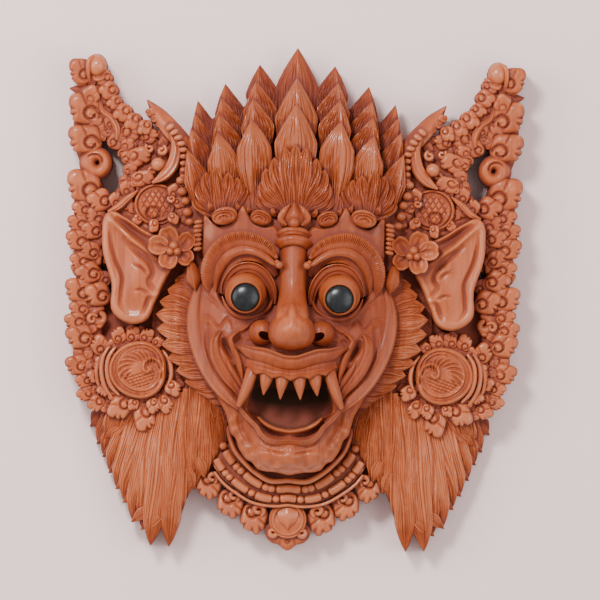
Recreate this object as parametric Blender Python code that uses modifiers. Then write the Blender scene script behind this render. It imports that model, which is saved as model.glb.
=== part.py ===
"""A carved wooden wall mask lying on its back: one carving and two inlaid pupils.

+X is the beholder's right, +Y the mask's top and +Z the way that its face looks.
The carving is laid out in units. One unit across is a 320th of the mask's height, and one
unit of relief is a 104th of its depth, so both are a millimetre at the nominal size.
"""

import math

import bmesh
import bpy
from mathutils import Matrix, Vector

# Driving sizes, in metres
HEIGHT = 0.320
DEPTH = 0.104
HOLLOW_WIDTH = 0.112
HOLLOW_LENGTH = 0.136
HOLLOW_DEPTH = 0.030
PUPIL_DIAMETER = 0.0172
PUPIL_EDGE = 0.0030
PUPIL_DOME = 0.0028
GLUE_GAP = 0.0004

# The joined blocks are skinned anew at this fineness, and this share of the skin's faces is kept
SKIN_CELL = HEIGHT / 213
FACES_KEPT = 0.0258

UNIT = HEIGHT / 320
RELIEF = DEPTH / 104

# Places that several forms share, in units
EYE = (29.4, 0.7)
EYEBALL = 14.5
EYE_FRONT = 83.0
MEDALLION = (97.7, -49.3)
ROSETTE = (84.6, 56.0)
FLOWER = (77.3, 30.0)
TUFT_ROOT = (0.0, 50.0)

# Half outlines from the top round to the foot, as corners that reach() joins
GROUND = [(0, 104), (46, 100), (70, 92), (92, 96), (112, 96), (131, 97), (135, 66), (130, 50), (133, 30), (130, 2),
          (132, -20), (131, -44), (122, -63), (104, -74), (80, -74), (62, -80), (50, -96), (42, -113), (22, -126), (0, -128)]
FACE = [(0, 62), (30, 60), (54, 48), (63, 22), (67, -8), (65, -30), (54, -54), (42, -68), (36, -88), (21, -106), (0, -111)]
MOUTH = [(0, -44), (19, -46), (26, -64), (22, -78), (0, -84)]
EAR = [(98, 39), (119, 47), (123, 29), (117, 12), (116, -8), (110, -19), (98, -22), (86, -19), (82, -8), (76, 8), (80, 24)]

WOOD = bpy.data.materials.new("carved_wood")
HORN = bpy.data.materials.new("black_horn")


def finish_material(material, colour, roughness):
    material.use_nodes = True
    shader = material.node_tree.nodes["Principled BSDF"]
    shader.inputs["Base Color"].default_value = (*colour, 1.0)
    shader.inputs["Roughness"].default_value = roughness
    shader.inputs["Metallic"].default_value = 0.0


def clear_scene():
    for obj in list(bpy.data.objects):
        bpy.data.objects.remove(obj)


def collection(name):
    made = bpy.data.collections.new(name)
    bpy.context.scene.collection.children.link(made)
    return made


def at(x, y, z):
    """A point of the carving, from units to metres."""
    return Vector((x * UNIT, y * UNIT, z * RELIEF))


def bump(x, y, width, length):
    """A soft round hill of height 1."""
    return math.exp(-((x / width) ** 2) - (y / length) ** 2)


def blend(low, high, share):
    return low + (high - low) * share


def ground_z(x, y):
    """The height of the block that the ornament is carved out of: a shield, highest behind the face."""
    return 17 + 31 * bump(x, y + 4, 76, 104)


def face_z(x, y):
    """The skin of the face, before its features: a dome with eye hollows, cheeks, muzzle and chin."""
    spread = (x / 71) ** 2 + ((y + 25) / 103) ** 2
    dome = 36 + 32 * math.sqrt(max(0.0, 1 - spread))
    hollows = 7 * bump(abs(x) - EYE[0], y - EYE[1], 17, 15)
    cheeks = 5 * bump(abs(x) - 45, y + 34, 12, 20)
    return dome - hollows + cheeks + 11 * bump(x, y + 37, 30, 14) + 9 * bump(x, y + 98, 22, 13)


def reach(corners, centre, angle):
    """How far an outline lies from its centre at an angle, which is 0 at +Y and grows towards +X."""
    polar = sorted((math.atan2(x - centre[0], y - centre[1]) % math.tau, math.hypot(x - centre[0], y - centre[1]))
                   for x, y in corners)
    polar = [(polar[-1][0] - math.tau, polar[-1][1])] + polar + [(polar[0][0] + math.tau, polar[0][1])]
    turned = angle % math.tau
    for (low, near), (high, far) in zip(polar, polar[1:]):
        if low <= turned <= high:
            return blend(near, far, (turned - low) / max(high - low, 1e-9))
    return polar[0][1]


def whole(corners):
    """A symmetric outline from its half."""
    return corners + [(-x, y) for x, y in corners if x > 0]


def on_disc(u, v, corners, centre):
    """A place inside an outline for a place in the square from -1 to 1, with its share of the way out."""
    across, along = u * math.sqrt(1 - v * v / 2), v * math.sqrt(1 - u * u / 2)
    share = math.hypot(across, along)
    angle = math.atan2(across, along)
    out = share * reach(corners, centre, angle)
    return centre[0] + out * math.sin(angle), centre[1] + out * math.cos(angle), share


class Bench:
    """Where blocks are made: each lands in one collection as a helper for the carving's Booleans."""

    def __init__(self, shelf):
        self.shelf = shelf

    def keep(self, name, mesh):
        obj = bpy.data.objects.new(name, mesh)
        obj.hide_render = True
        obj.display_type = "WIRE"
        self.shelf.objects.link(obj)
        return obj

    def from_bmesh(self, name, bm, middle=False):
        """A block from a bmesh, and its twin on the other side unless it stands in the middle plane."""
        bmesh.ops.recalc_face_normals(bm, faces=bm.faces[:])
        mesh = bpy.data.meshes.new(name)
        bm.to_mesh(mesh)
        if not middle:
            bmesh.ops.scale(bm, verts=bm.verts[:], vec=(-1, 1, 1))
            bmesh.ops.reverse_faces(bm, faces=bm.faces[:])
            twin = bpy.data.meshes.new(name + "_left")
            bm.to_mesh(twin)
            self.keep(name + "_left", twin)
        bm.free()
        return self.keep(name, mesh)

    def slab(self, name, columns, rows, surface, under, middle=True):
        """A grid shaped by surface(u, v) and closed below by under(point), u and v from -1 to 1."""
        bm = bmesh.new()
        bmesh.ops.create_grid(bm, x_segments=columns, y_segments=rows, size=1.0)
        for vert in bm.verts:
            vert.co = surface(vert.co.x, vert.co.y)
        grown = bmesh.ops.extrude_face_region(bm, geom=bm.faces[:], use_keep_orig=True)["geom"]
        lower = [part for part in grown if isinstance(part, bmesh.types.BMFace)]
        for vert in (part for part in grown if isinstance(part, bmesh.types.BMVert)):
            vert.co.z = under(vert.co)
        if max(v.co.z for f in lower for v in f.verts) - min(v.co.z for f in lower for v in f.verts) < 1e-6:
            bmesh.ops.dissolve_faces(bm, faces=lower)
        return self.from_bmesh(name, bm, middle)

    def leaf(self, name, root, tip, width, ridge=3.0, lean=0.0, thick=9.0, rows=4, blunt=0.55, columns=2):
        """A pointed leaf from root to tip, each (x, y, z), with a roof ridge that leans to one side."""
        start, end = Vector(root), Vector(tip)
        along = (end - start).to_2d().normalized()
        side = Vector((along.y, -along.x))

        def surface(u, v):
            share = (v + 1) / 2
            half = max(0.5 * width * math.sin(math.pi * (0.16 + 0.84 * share)) ** blunt, 0.35)
            place = start.lerp(end, share)
            crest = 1 - abs(u) * (1.0 if columns > 1 else 0.0)
            across = half * (u + lean * (1 - abs(u)))
            spot = place.to_2d() + side * across
            return at(spot.x, spot.y, place.z + ridge * (crest - 0.5) * min(1.0, half / (0.3 * width)))

        return self.slab(name, columns, rows, surface, lambda co: co.z - thick * RELIEF, root[0] == tip[0] == 0)

    def rod(self, name, points, radii, sides=1):
        """A round rib along points, each (x, y, z), made as a curve with filled caps and then a mesh.

        A rib that starts in the middle plane and goes sideways is carried on to the other side.
        """
        middle = points[0][0] == 0
        if middle and points[1][0] > 0:
            points = [(-x, y, z) for x, y, z in points[:0:-1]] + points
            radii = radii[:0:-1] + radii
        curve = bpy.data.curves.new(name, "CURVE")
        curve.dimensions = "3D"
        curve.bevel_depth = UNIT
        curve.bevel_resolution = sides
        curve.use_fill_caps = True
        spline = curve.splines.new("POLY")
        spline.points.add(len(points) - 1)
        for knot, point, radius in zip(spline.points, points, radii):
            knot.co = (*at(*point), 1.0)
            knot.radius = radius
        guide = bpy.data.objects.new(name + "_curve", curve)
        self.shelf.objects.link(guide)
        graph = bpy.context.evaluated_depsgraph_get()
        mesh = bpy.data.meshes.new_from_object(guide.evaluated_get(graph))
        bpy.data.objects.remove(guide)
        bm = bmesh.new()
        bm.from_mesh(mesh)
        bpy.data.meshes.remove(mesh)
        bmesh.ops.remove_doubles(bm, verts=bm.verts[:], dist=1e-5)
        return self.from_bmesh(name, bm, middle)

    def boss(self, name, x, y, z, across, along, tall, turn=0.0, sides=8, rings=5):
        """A flattened ball, centred at a place and turned about Z."""
        bm = bmesh.new()
        bmesh.ops.create_uvsphere(bm, u_segments=sides, v_segments=rings, radius=1.0)
        spin = Matrix.Rotation(math.radians(turn), 3, "Z")
        for vert in bm.verts:
            shaped = spin @ Vector((vert.co.x * across, vert.co.y * along, vert.co.z * tall))
            vert.co = at(x + shaped.x, y + shaped.y, z + shaped.z)
        return self.from_bmesh(name, bm, x == 0)

    def curl(self, name, x, y, radius, top, foot, turn=0.0, lobes=3, volute=0.5):
        """A cloud-shaped scroll head: a lobed tablet with a round volute on its inner side."""
        bm = bmesh.new()
        bmesh.ops.create_cone(bm, cap_ends=True, segments=4 * lobes, radius1=1.0, radius2=0.74, depth=1.0)
        for vert in bm.verts:
            angle = math.atan2(vert.co.y, vert.co.x)
            swell = radius * (1 + 0.10 * math.cos(lobes * angle + math.pi))
            spread = math.hypot(vert.co.x, vert.co.y) * swell
            aim = angle + math.radians(turn)
            height = top - 1.5 if vert.co.z > 0 else foot
            vert.co = at(x + spread * math.cos(aim), y + spread * math.sin(aim), height)
        self.from_bmesh(name, bm, x == 0)
        if volute:
            aim = math.radians(turn + 180)
            off = 0.22 * radius
            self.boss(name + "_volute", x + off * math.cos(aim), y + off * math.sin(aim), top - 1.2,
                      volute * radius, volute * radius, 2.6, turn, sides=8, rings=4)

    def prism(self, name, corners, low, high):
        """An upright prism on corners, for cutting."""
        bm = bmesh.new()
        face = bm.faces.new([bm.verts.new(at(x, y, low)) for x, y in corners])
        grown = bmesh.ops.extrude_face_region(bm, geom=[face], use_keep_orig=True)["geom"]
        for vert in (part for part in grown if isinstance(part, bmesh.types.BMVert)):
            vert.co.z = high * RELIEF
        return self.from_bmesh(name, bm)


def body(bench):
    """The shield that everything is carved out of, down to below the back, which is cut flat last."""
    outline = whole(GROUND)

    def surface(u, v):
        x, y, _ = on_disc(u, v, outline, (0, 0))
        return at(x, y, ground_z(x, y))

    return bench.slab("carved_mask", 16, 18, surface, lambda co: -4 * RELIEF)


def crown(bench):
    """Seven columns of stacked feathers, four to a column, the tallest in the middle."""
    tips = [(0, 160), (24, 148), (45.6, 135.8), (63, 124)]
    fronts = [(0, 100), (27.5, 112), (47.6, 102), (66, 92)]
    roots = [(0, 60), (26, 64), (42, 70), (60, 66)]
    widths = [24, 21, 20, 17]
    leans = [0, 0.35, 0.5, 0.6]
    for column, (tip, front, root) in enumerate(zip(tips, fronts, roots)):
        for row in range(4):
            share = row / 3
            x, y = (blend(low, high, share) for low, high in zip(tip, front))
            rise = blend(22, 54 - 5 * column, share)
            foot = (blend(x, root[0], 0.8), max(root[1] - 2, y - 52), rise + 6)
            bench.leaf(f"feather_{column}_{row}", foot, (x, y, rise), widths[column] * (1 - 0.04 * row),
                       ridge=6, lean=leans[column], thick=13 if row else 8, rows=4, blunt=0.7)


def tufts(bench):
    """Flame tufts of hair that stand up over the brow, one in the middle and one to each side."""
    for lock in range(5):
        angle = math.radians(lock * 20)
        length = 46 - 4.6 * lock
        tip = (length * math.sin(angle) * 0.92, TUFT_ROOT[1] + length * math.cos(angle))
        bench.leaf(f"tuft_lock_{lock}", (3 * math.sin(angle), TUFT_ROOT[1] + 6, 66), (*tip, 62), 12.5, ridge=3,
                   thick=22, rows=3)
    for lock in range(5):
        angle = math.radians(-48 + lock * 27)
        tip = (47 + 22 * math.sin(angle), 56 + 25 * math.cos(angle))
        bench.leaf(f"side_lock_{lock}", (47 + 4 * math.sin(angle), 52, 57), (*tip, 51), 12, ridge=3, thick=20,
                   rows=3)


def face(bench):
    """The face's domed skin and what is added to it: eyes, brows, nose, lips, teeth and folds."""
    outline = whole(FACE)

    def surface(u, v):
        x, y, share = on_disc(u, v, outline, (0, -26))
        return at(x, y, face_z(x, y) - 5 * share**6)

    bench.slab("face_skin", 18, 22, surface, lambda co: 12 * RELIEF)
    bench.boss("eyeball", *EYE, EYE_FRONT - EYEBALL, EYEBALL, EYEBALL, EYEBALL, sides=16, rings=10)
    for name, radius, width, low, high, depth in (("lid", 17, 2.0, -75, 245, 72), ("lid_fold", 21, 2.0, -20, 200, 68)):
        steps = [math.radians(low + (high - low) * step / 10) for step in range(11)]
        bench.rod(name, [(EYE[0] + radius * math.cos(a), EYE[1] + 1 + radius * math.sin(a), depth) for a in steps],
                  [width * (0.6 + 0.4 * math.sin(math.pi * step / 10)) for step in range(11)])
    bench.rod("brow_ridge", [(9, 21, 76), (16, 24, 78), (26, 31, 76), (38, 31, 71), (48, 23, 65), (54, 10, 58)],
              [3.4, 2.6, 2.6, 2.8, 2.6, 1.6])
    bench.rod("brow_hair", [(11, 27, 70), (20, 35, 70), (32, 39, 67), (45, 34, 61), (54, 22, 55), (58, 9, 50)],
              [2.5, 4.6, 5.4, 5.4, 5.0, 3.0])
    bench.rod("nose", [(0, 34, 64), (0, 22, 68), (0, 6, 72), (0, -6, 80), (0, -12, 87), (0, -18, 89.8), (0, -26, 86),
                       (0, -30, 82)],
              [9, 8.5, 8.8, 11, 13.6, 14.2, 10, 4], sides=3)
    bench.boss("nostril", 18.5, -22.5, 78, 8.6, 8.0, 8.5, sides=10, rings=6)
    bench.rod("lip_upper", [(0, -39, 84), (8, -37.5, 84), (18, -33, 82), (27, -30.5, 78), (36, -30.5, 69)],
              [4.2, 4.2, 4.0, 3.2, 1.4], sides=1)
    bench.rod("gum", [(0, -46, 79), (10, -46, 79), (19, -45, 76), (25, -46, 70)], [3.4, 3.4, 3.2, 2.6])
    for tooth, (x, lean_x) in enumerate(((5.6, 0.8), (15.6, 1.2))):
        bench.rod(f"tooth_{tooth}", [(x, -45, 79), (x + lean_x * 0.4, -53, 80), (x + lean_x, -62 + 2 * tooth, 78)],
                  [4.0, 3.0, 0.5])
    bench.rod("tusk", [(21.5, -44, 75), (26, -54, 76), (29.5, -64, 75), (31, -69, 73)], [4.4, 4.0, 3.0, 1.8])
    bench.rod("lip_lower", [(0, -90, 70), (11, -89, 69.5), (21, -86, 67.5), (27, -77, 67), (31, -67, 66)],
              [2.4, 2.4, 2.4, 2.2, 2.0])
    bench.rod("cheek_ribbon", [(58, 12, 45), (65, -8, 44), (63, -29, 45), (54, -49, 48), (43, -61, 54), (33, -68, 61)],
              [3.0, 4.2, 4.6, 4.6, 4.2, 3.2])
    bench.rod("cheek_fold", [(47, -16, 65), (48, -30, 65), (44, -44, 65), (38, -55, 64), (32, -62, 64)],
              [2.2, 3.2, 3.4, 3.0, 2.0])
    bench.rod("smile_fold", [(24, -14, 74), (31, -21, 74), (37, -27, 71), (36, -38, 71), (32, -50, 70)],
              [1.8, 2.4, 2.2, 2.2, 1.6])
    bench.rod("chin_roll", [(0, -103, 64), (12, -102, 63), (22, -98, 59)], [4, 3.6, 2.4])


def diadem(bench):
    """The band over the brow, with its oval jewels and the ringed stud above the nose."""
    bench.boss("jewel_outer", 42, 51, 62, 8.5, 6.0, 5, turn=12)
    bench.boss("jewel_inner", 21.5, 49.5, 66, 7, 5.5, 5, turn=-8)
    for ring, (y, radius) in enumerate(((32, 3.6), (38.5, 3.3), (44, 2.8))):
        bench.rod(f"stud_ring_{ring}", [(0, y, 75), (7, y - 0.5, 73.5), (12, y - 2, 67)], [radius, radius, radius * 0.7])
    bench.leaf("stud_leaf", (0, 42, 72), (0, 58, 70), 16, ridge=4, thick=14, rows=3)
    bench.rod("temple_bead", [(60, 46, 44), (60, 32, 45), (61, 24, 44)], [3, 2.4, 1.6])


def wings(bench):
    """The scrolled side panels: an arm that climbs to a volute, a horn, and scroll heads down the outer edge."""
    bench.leaf("wing_arm", (104, 78, 20), (129, 158, 25), 34, ridge=3, thick=14, rows=5, blunt=0.55)
    bench.leaf("horn", (70, 84, 36), (93, 122, 30), 17, ridge=4, lean=-0.3, thick=14, rows=4, blunt=0.6)
    heads = [(138, 141, 7.5, 20), (137.5, 129, 6.2, -10), (135.5, 116, 10.6, 0), (136, 97, 10.2, -5),
             (132, 82, 6.5, -20), (134.5, 68.5, 11, 10), (133, 50, 6.8, -10), (133.5, 33.5, 9, 5),
             (132, 17.5, 7.2, -10), (132.5, 2, 9.4, 0), (132.5, -19, 9.2, 5), (132, -40, 10, 0),
             (128.5, -56, 8.4, -25), (119.5, -69, 7.8, -50)]
    for index, (x, y, radius, turn) in enumerate(heads):
        bench.curl(f"wing_head_{index}", x, y, radius, 29, 5, turn)
    bench.boss("wing_volute", 127, 149.5, 21, 8.2, 9.5, 10, sides=10, rings=6)
    bench.boss("gap_scroll", 124.5, 80, 20, 6.2, 6.6, 9, sides=10, rings=6)
    inner = [(119, 122, 6.5), (109, 110, 6.5), (98, 102, 6.2), (86, 100, 5.5), (121, 104, 6), (103, 94, 6.0),
             (90, 86, 7.5), (100, 76, 6.0), (75, 74, 6), (104, 58, 6.5), (123, 50, 6.0), (70, 88, 5),
             (122, 8, 7), (121, -8, 7), (120, -26, 7)]
    for index, (x, y, radius) in enumerate(inner):
        rise = 26 + 13 * bump(x - 60, y - 40, 40, 60)
        bench.curl(f"wing_curl_{index}", x, y, radius, rise, 8, 30 * index, volute=0.55 if index % 2 else 0)


def rosettes(bench):
    """The upper rosette over each ear and the spiral medallion under it."""
    bench.curl("rosette_drum", *ROSETTE, 14, 36, 8, 90, lobes=4, volute=0)
    bench.boss("rosette", *ROSETTE, 34, 10, 12, 7, sides=12, rings=6)
    x, y = MEDALLION
    bench.boss("medallion_plate", x, y, 22, 19, 19, 14, sides=12, rings=6)
    bench.boss("medallion_dome", x, y, 33, 10, 10, 7, sides=12, rings=6)
    turns = [math.radians(36 * step) for step in range(11)]
    bench.rod("medallion_ring", [(x + 16 * math.cos(a), y + 16 * math.sin(a), 36) for a in turns[:-1]]
              + [(x + 12.5 * math.cos(0.2), y + 12.5 * math.sin(0.2), 38)], [2.8] * 11)
    for leaf, (angle, radius, out) in enumerate(((95, 6, 25), (68, 5.5, 25.5), (122, 6, 26), (150, 6.5, 27),
                                                 (-8, 6, 27), (-36, 6, 27), (-62, 6, 26), (-98, 8.5, 27),
                                                 (-128, 8.5, 27), (40, 5.5, 25))):
        aim = math.radians(180 - angle)
        bench.curl(f"medallion_leaf_{leaf}", x + out * math.cos(aim), y + out * math.sin(aim), radius, 34, 8,
                   180 - angle)


def ears(bench):
    """A long pointed ear with a raised rim and a cupped middle, its flower and its drop."""
    centre = (98, 10)

    def surface(u, v):
        x, y, share = on_disc(u, v, EAR, centre)
        rim = 6 * math.exp(-(((share - 0.86) / 0.22) ** 2))
        return at(x, y, 44 + rim - 0.12 * (x - centre[0]) - 3 * share**8)

    bench.slab("ear", 8, 8, surface, lambda co: 14 * RELIEF, middle=False)
    bench.rod("ear_fold", [(108, 36, 46), (98, 24, 48), (91, 12, 48), (88, 0, 47), (86, -10, 45)],
              [1.6, 3.2, 3.6, 3.2, 2.4])
    for petal in range(5):
        angle = math.radians(90 + 72 * petal)
        bench.boss(f"petal_{petal}", FLOWER[0] + 8.2 * math.cos(angle), FLOWER[1] + 8.2 * math.sin(angle), 55,
                   6.6, 5.8, 3.6, turn=90 + 72 * petal, sides=8, rings=4)
    bench.boss("flower_heart", *FLOWER, 54, 5, 5, 6, sides=8, rings=4)
    bench.boss("flower_stalk", *FLOWER, 44, 8, 8, 12, sides=6, rings=4)
    bench.leaf("ear_drop", (61, 22, 50), (62, 7, 48), 8, ridge=4, thick=14, rows=3)


def mane(bench):
    """The ruff of short locks round the face and the long fan of locks under each medallion."""
    edge = [(64, 16), (66, 4), (67, -8), (66.5, -20), (64, -31), (59, -42), (52, -52), (44, -61)]
    aims = [24, 8, -4, -14, -24, -33, -42, -54]
    for lock, ((x, y), aim) in enumerate(zip(edge, aims)):
        angle = math.radians(aim)
        length = 24 - 1.0 * abs(lock - 2.5)
        tip = (x + length * math.cos(angle), y + length * math.sin(angle), 37)
        bench.leaf(f"ruff_lock_{lock}", (x - 4 * math.cos(angle), y - 4 * math.sin(angle), 44), tip, 13.5, ridge=3,
                   thick=14, rows=3)
    tips = [(126, -82), (121, -94), (117, -103), (112.5, -113), (108, -123), (103, -132), (98, -144), (87.8, -160),
            (74.8, -160), (67.4, -132), (61.2, -122), (54.2, -113), (44, -99)]
    for lock, (x, y) in enumerate(tips):
        share = lock / (len(tips) - 1)
        root = (blend(104, 48, share), blend(-64, -70, share) - 8 * math.sin(math.pi * share), 28)
        rise = 13 + 4 * math.sin(math.pi * share)
        bench.leaf(f"fan_lock_{lock}", root, (x, y, rise), 17, ridge=2.5, thick=9, rows=4, blunt=0.5)
    bench.leaf("fan_middle", (74, -62, 28), (81, -140, 14), 48, ridge=3, thick=11, rows=4, blunt=0.5)


def collar(bench):
    """The necklace under the chin: two rims, two rows of beads, scalloped scroll heads and a pendant."""
    plate = whole([(0, -96), (40, -84), (56, -110), (46, -124), (30, -136), (12, -142), (0, -143)])

    def surface(u, v):
        x, y, _ = on_disc(u, v, plate, (0, -118))
        return at(x, y, 31 + 0.22 * (y + 118))

    bench.slab("collar_plate", 8, 6, surface, lambda co: 5 * RELIEF)
    bench.rod("collar_rim", [(0, -113.5, 37), (14, -114.8, 36), (27, -108.5, 34), (37, -94.5, 33), (42, -84, 33)],
              [2.4, 2.4, 2.4, 2.2, 1.8])
    bench.rod("collar_foot", [(0, -129, 28), (21, -130.5, 27), (37.7, -122.5, 26), (47.4, -110.8, 26)],
              [2.2, 2.2, 2.0, 1.6])
    for row, (reach_out, count, rise) in enumerate(((5.0, 6, 33), (9.8, 6, 30))):
        for bead in range(count):
            angle = math.radians(6 + bead * 11.5)
            x = (46 + reach_out) * math.sin(angle)
            y = -70 - (44.5 + reach_out) * math.cos(angle)
            long = 3.6 if (bead + row) % 2 == 0 else 2.0
            bench.boss(f"collar_bead_{row}_{bead}", x, y, rise, long, 2.2, 2.4, turn=math.degrees(angle), sides=6,
                       rings=4)
    for head, (x, y, radius) in enumerate(((48, -122.5, 7.4), (37.2, -133, 8), (20.6, -141, 8.4))):
        bench.curl(f"collar_head_{head}", x, y, radius, 23, 4, -60 - 12 * head)
    bench.curl("pendant_foot", 0, -150.6, 8.9, 23, 4, -90)
    bench.boss("pendant_plate", 0, -138, 18, 11.5, 11, 9, sides=12, rings=6)
    bench.boss("pendant_gem", 0, -137.5, 24, 5.5, 6.5, 6, sides=8, rings=6)


def openings(bench):
    """What is cut away last: the mouth, the nostrils, the pupils' sockets, the flat back and its hollow."""
    mouth = whole(MOUTH)

    def floor(u, v):
        x, y, share = on_disc(u, v, mouth, (0, -64))
        return at(x, y, 48 + 0.42 * max(0.0, -58 - y) + 12 * share**4)

    bench.slab("mouth_cut", 8, 8, floor, lambda co: 1.4 * DEPTH)
    bench.boss("nostril_cut", 19.6, -25.5, 84, 3.6, 3.0, 9, sides=8, rings=5)
    radius = PUPIL_DIAMETER / 2 + GLUE_GAP
    low, high = socket_floor(), DEPTH * 1.1
    bm = bmesh.new()
    bmesh.ops.create_cone(bm, cap_ends=True, segments=24, radius1=radius, radius2=radius, depth=high - low)
    bmesh.ops.translate(bm, verts=bm.verts[:], vec=(EYE[0] * UNIT, EYE[1] * UNIT, (low + high) / 2))
    bench.from_bmesh("socket_cut", bm)
    bm = bmesh.new()
    bmesh.ops.create_uvsphere(bm, u_segments=20, v_segments=12, radius=1.0)
    bmesh.ops.scale(bm, verts=bm.verts[:], vec=(HOLLOW_WIDTH / 2, HOLLOW_LENGTH / 2, HOLLOW_DEPTH))
    bmesh.ops.translate(bm, verts=bm.verts[:], vec=(0, -4 * UNIT, 0))
    bench.from_bmesh("hollow_cut", bm, middle=True)
    bm = bmesh.new()
    bmesh.ops.create_cube(bm, size=1.0)
    bmesh.ops.scale(bm, verts=bm.verts[:], vec=(1.2 * HEIGHT, 1.2 * HEIGHT, 20 * RELIEF))
    bmesh.ops.translate(bm, verts=bm.verts[:], vec=(0, 0, -10 * RELIEF))
    bench.from_bmesh("back_cut", bm, middle=True)


def socket_floor():
    """The bottom of a pupil's socket: the pupil's dome ends level with the front of the eyeball."""
    return EYE_FRONT * RELIEF - PUPIL_DOME - PUPIL_EDGE - GLUE_GAP


def piercings(bench):
    """What is cut through the side panels before the scroll heads go on."""
    bench.prism("wing_gap_cut", [(127, 93), (110, 96), (107, 78), (111, 66), (116, 57), (127, 64)], -20, 90)
    bench.prism("ear_gap_cut", [(119, 35), (126, 34), (123.5, 26), (121, 14), (116, 19)], -20, 90)


def pupil(name, side, shelf):
    """A domed disc of black horn, turned as a profile round its own axis."""
    radius = PUPIL_DIAMETER / 2
    steps = 5
    profile = [(radius * math.sin(math.pi / 2 * step / steps), PUPIL_EDGE + PUPIL_DOME * math.cos(math.pi / 2 * step / steps))
               for step in range(steps + 1)] + [(radius, 0.0), (0.0, 0.0)]
    mesh = bpy.data.meshes.new(name)
    mesh.from_pydata([(x, 0.0, z) for x, z in profile], [(i, i + 1) for i in range(len(profile) - 1)], [])
    obj = bpy.data.objects.new(name, mesh)
    shelf.objects.link(obj)
    turn = obj.modifiers.new("turn", "SCREW")
    turn.steps = turn.render_steps = 24
    turn.use_merge_vertices = True
    turn.merge_threshold = 0.00001
    obj.location = (side * EYE[0] * UNIT, EYE[1] * UNIT, socket_floor() + GLUE_GAP)
    obj.data.materials.append(HORN)
    return obj


def cut_and_join(carving, name, operation, shelf):
    step = carving.modifiers.new(name, "BOOLEAN")
    step.operation = operation
    step.operand_type = "COLLECTION"
    step.collection = shelf
    step.solver = "MANIFOLD"


def main():
    clear_scene()
    finish_material(WOOD, (0.42, 0.14, 0.05), 0.45)
    finish_material(HORN, (0.02, 0.02, 0.022), 0.15)
    mask = collection("barong_mask")
    gaps, blocks, cuts = collection("piercings"), collection("blocks"), collection("cuts")
    carving = body(Bench(mask))
    carving.hide_render = False
    carving.display_type = "TEXTURED"
    carving.data.materials.append(WOOD)
    piercings(Bench(gaps))
    for form in (crown, tufts, face, diadem, wings, rosettes, ears, mane, collar):
        form(Bench(blocks))
    openings(Bench(cuts))
    cut_and_join(carving, "pierce", "DIFFERENCE", gaps)
    cut_and_join(carving, "join", "UNION", blocks)
    skin = carving.modifiers.new("skin", "REMESH")
    skin.mode = "VOXEL"
    skin.voxel_size = SKIN_CELL
    thin = carving.modifiers.new("thin", "DECIMATE")
    thin.ratio = FACES_KEPT
    cut_and_join(carving, "cut", "DIFFERENCE", cuts)
    pupil("pupil_right", 1, mask)
    pupil("pupil_left", -1, mask)


main()
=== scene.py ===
"""Dresses the carved wall mask: its fine carving, its waxed wood and its horn pupils.

The mask lies on its back. +X is the beholder's right, +Y its top and +Z the way the face looks.
Places and sizes of the carving are in millimetres of the finished mask.
"""

import math

import bpy
import numpy as np
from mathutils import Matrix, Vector


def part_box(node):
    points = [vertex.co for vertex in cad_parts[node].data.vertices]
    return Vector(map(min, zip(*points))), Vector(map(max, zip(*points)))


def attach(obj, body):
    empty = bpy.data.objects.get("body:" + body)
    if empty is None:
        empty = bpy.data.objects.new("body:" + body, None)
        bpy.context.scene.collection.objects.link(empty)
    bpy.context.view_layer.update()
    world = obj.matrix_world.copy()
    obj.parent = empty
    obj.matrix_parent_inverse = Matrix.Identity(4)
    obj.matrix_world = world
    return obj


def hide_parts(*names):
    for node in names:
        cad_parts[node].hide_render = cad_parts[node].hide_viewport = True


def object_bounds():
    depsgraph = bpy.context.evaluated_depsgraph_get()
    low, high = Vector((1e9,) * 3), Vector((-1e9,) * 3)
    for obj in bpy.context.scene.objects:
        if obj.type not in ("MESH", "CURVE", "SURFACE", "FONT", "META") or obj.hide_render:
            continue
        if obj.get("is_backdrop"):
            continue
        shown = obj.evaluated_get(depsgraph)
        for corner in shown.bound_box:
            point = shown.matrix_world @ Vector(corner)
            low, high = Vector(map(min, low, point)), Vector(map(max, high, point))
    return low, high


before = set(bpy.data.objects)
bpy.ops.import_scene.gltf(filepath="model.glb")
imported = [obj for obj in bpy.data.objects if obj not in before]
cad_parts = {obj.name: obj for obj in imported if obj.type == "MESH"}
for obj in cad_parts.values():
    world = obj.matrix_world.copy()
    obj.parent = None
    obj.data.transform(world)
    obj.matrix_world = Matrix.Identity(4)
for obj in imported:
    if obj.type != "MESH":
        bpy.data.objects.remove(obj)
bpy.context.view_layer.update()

bl_info = {
    "name": "Carved Wall Mask",
    "version": (1, 0, 0),
    "blender": (4, 5, 0),
    "location": "View3D > Sidebar > Mask",
    "description": "Carves the fine forms of a wooden wall mask and finishes them",
    "category": "Object",
}

MM = 0.001
FINENESS = 0.66
EYE = (29.4, 0.7)
MEDALLION = (95.6, -46.9)
ROSETTE = (86.9, 58.0)


# Blanks and how they are shaped

def settle():
    """Leaves object mode on with nothing selected, because an operator acts on all that is selected."""
    if bpy.context.object and bpy.context.object.mode != "OBJECT":
        bpy.ops.object.mode_set(mode="OBJECT")
    bpy.ops.object.select_all(action="DESELECT")


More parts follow.
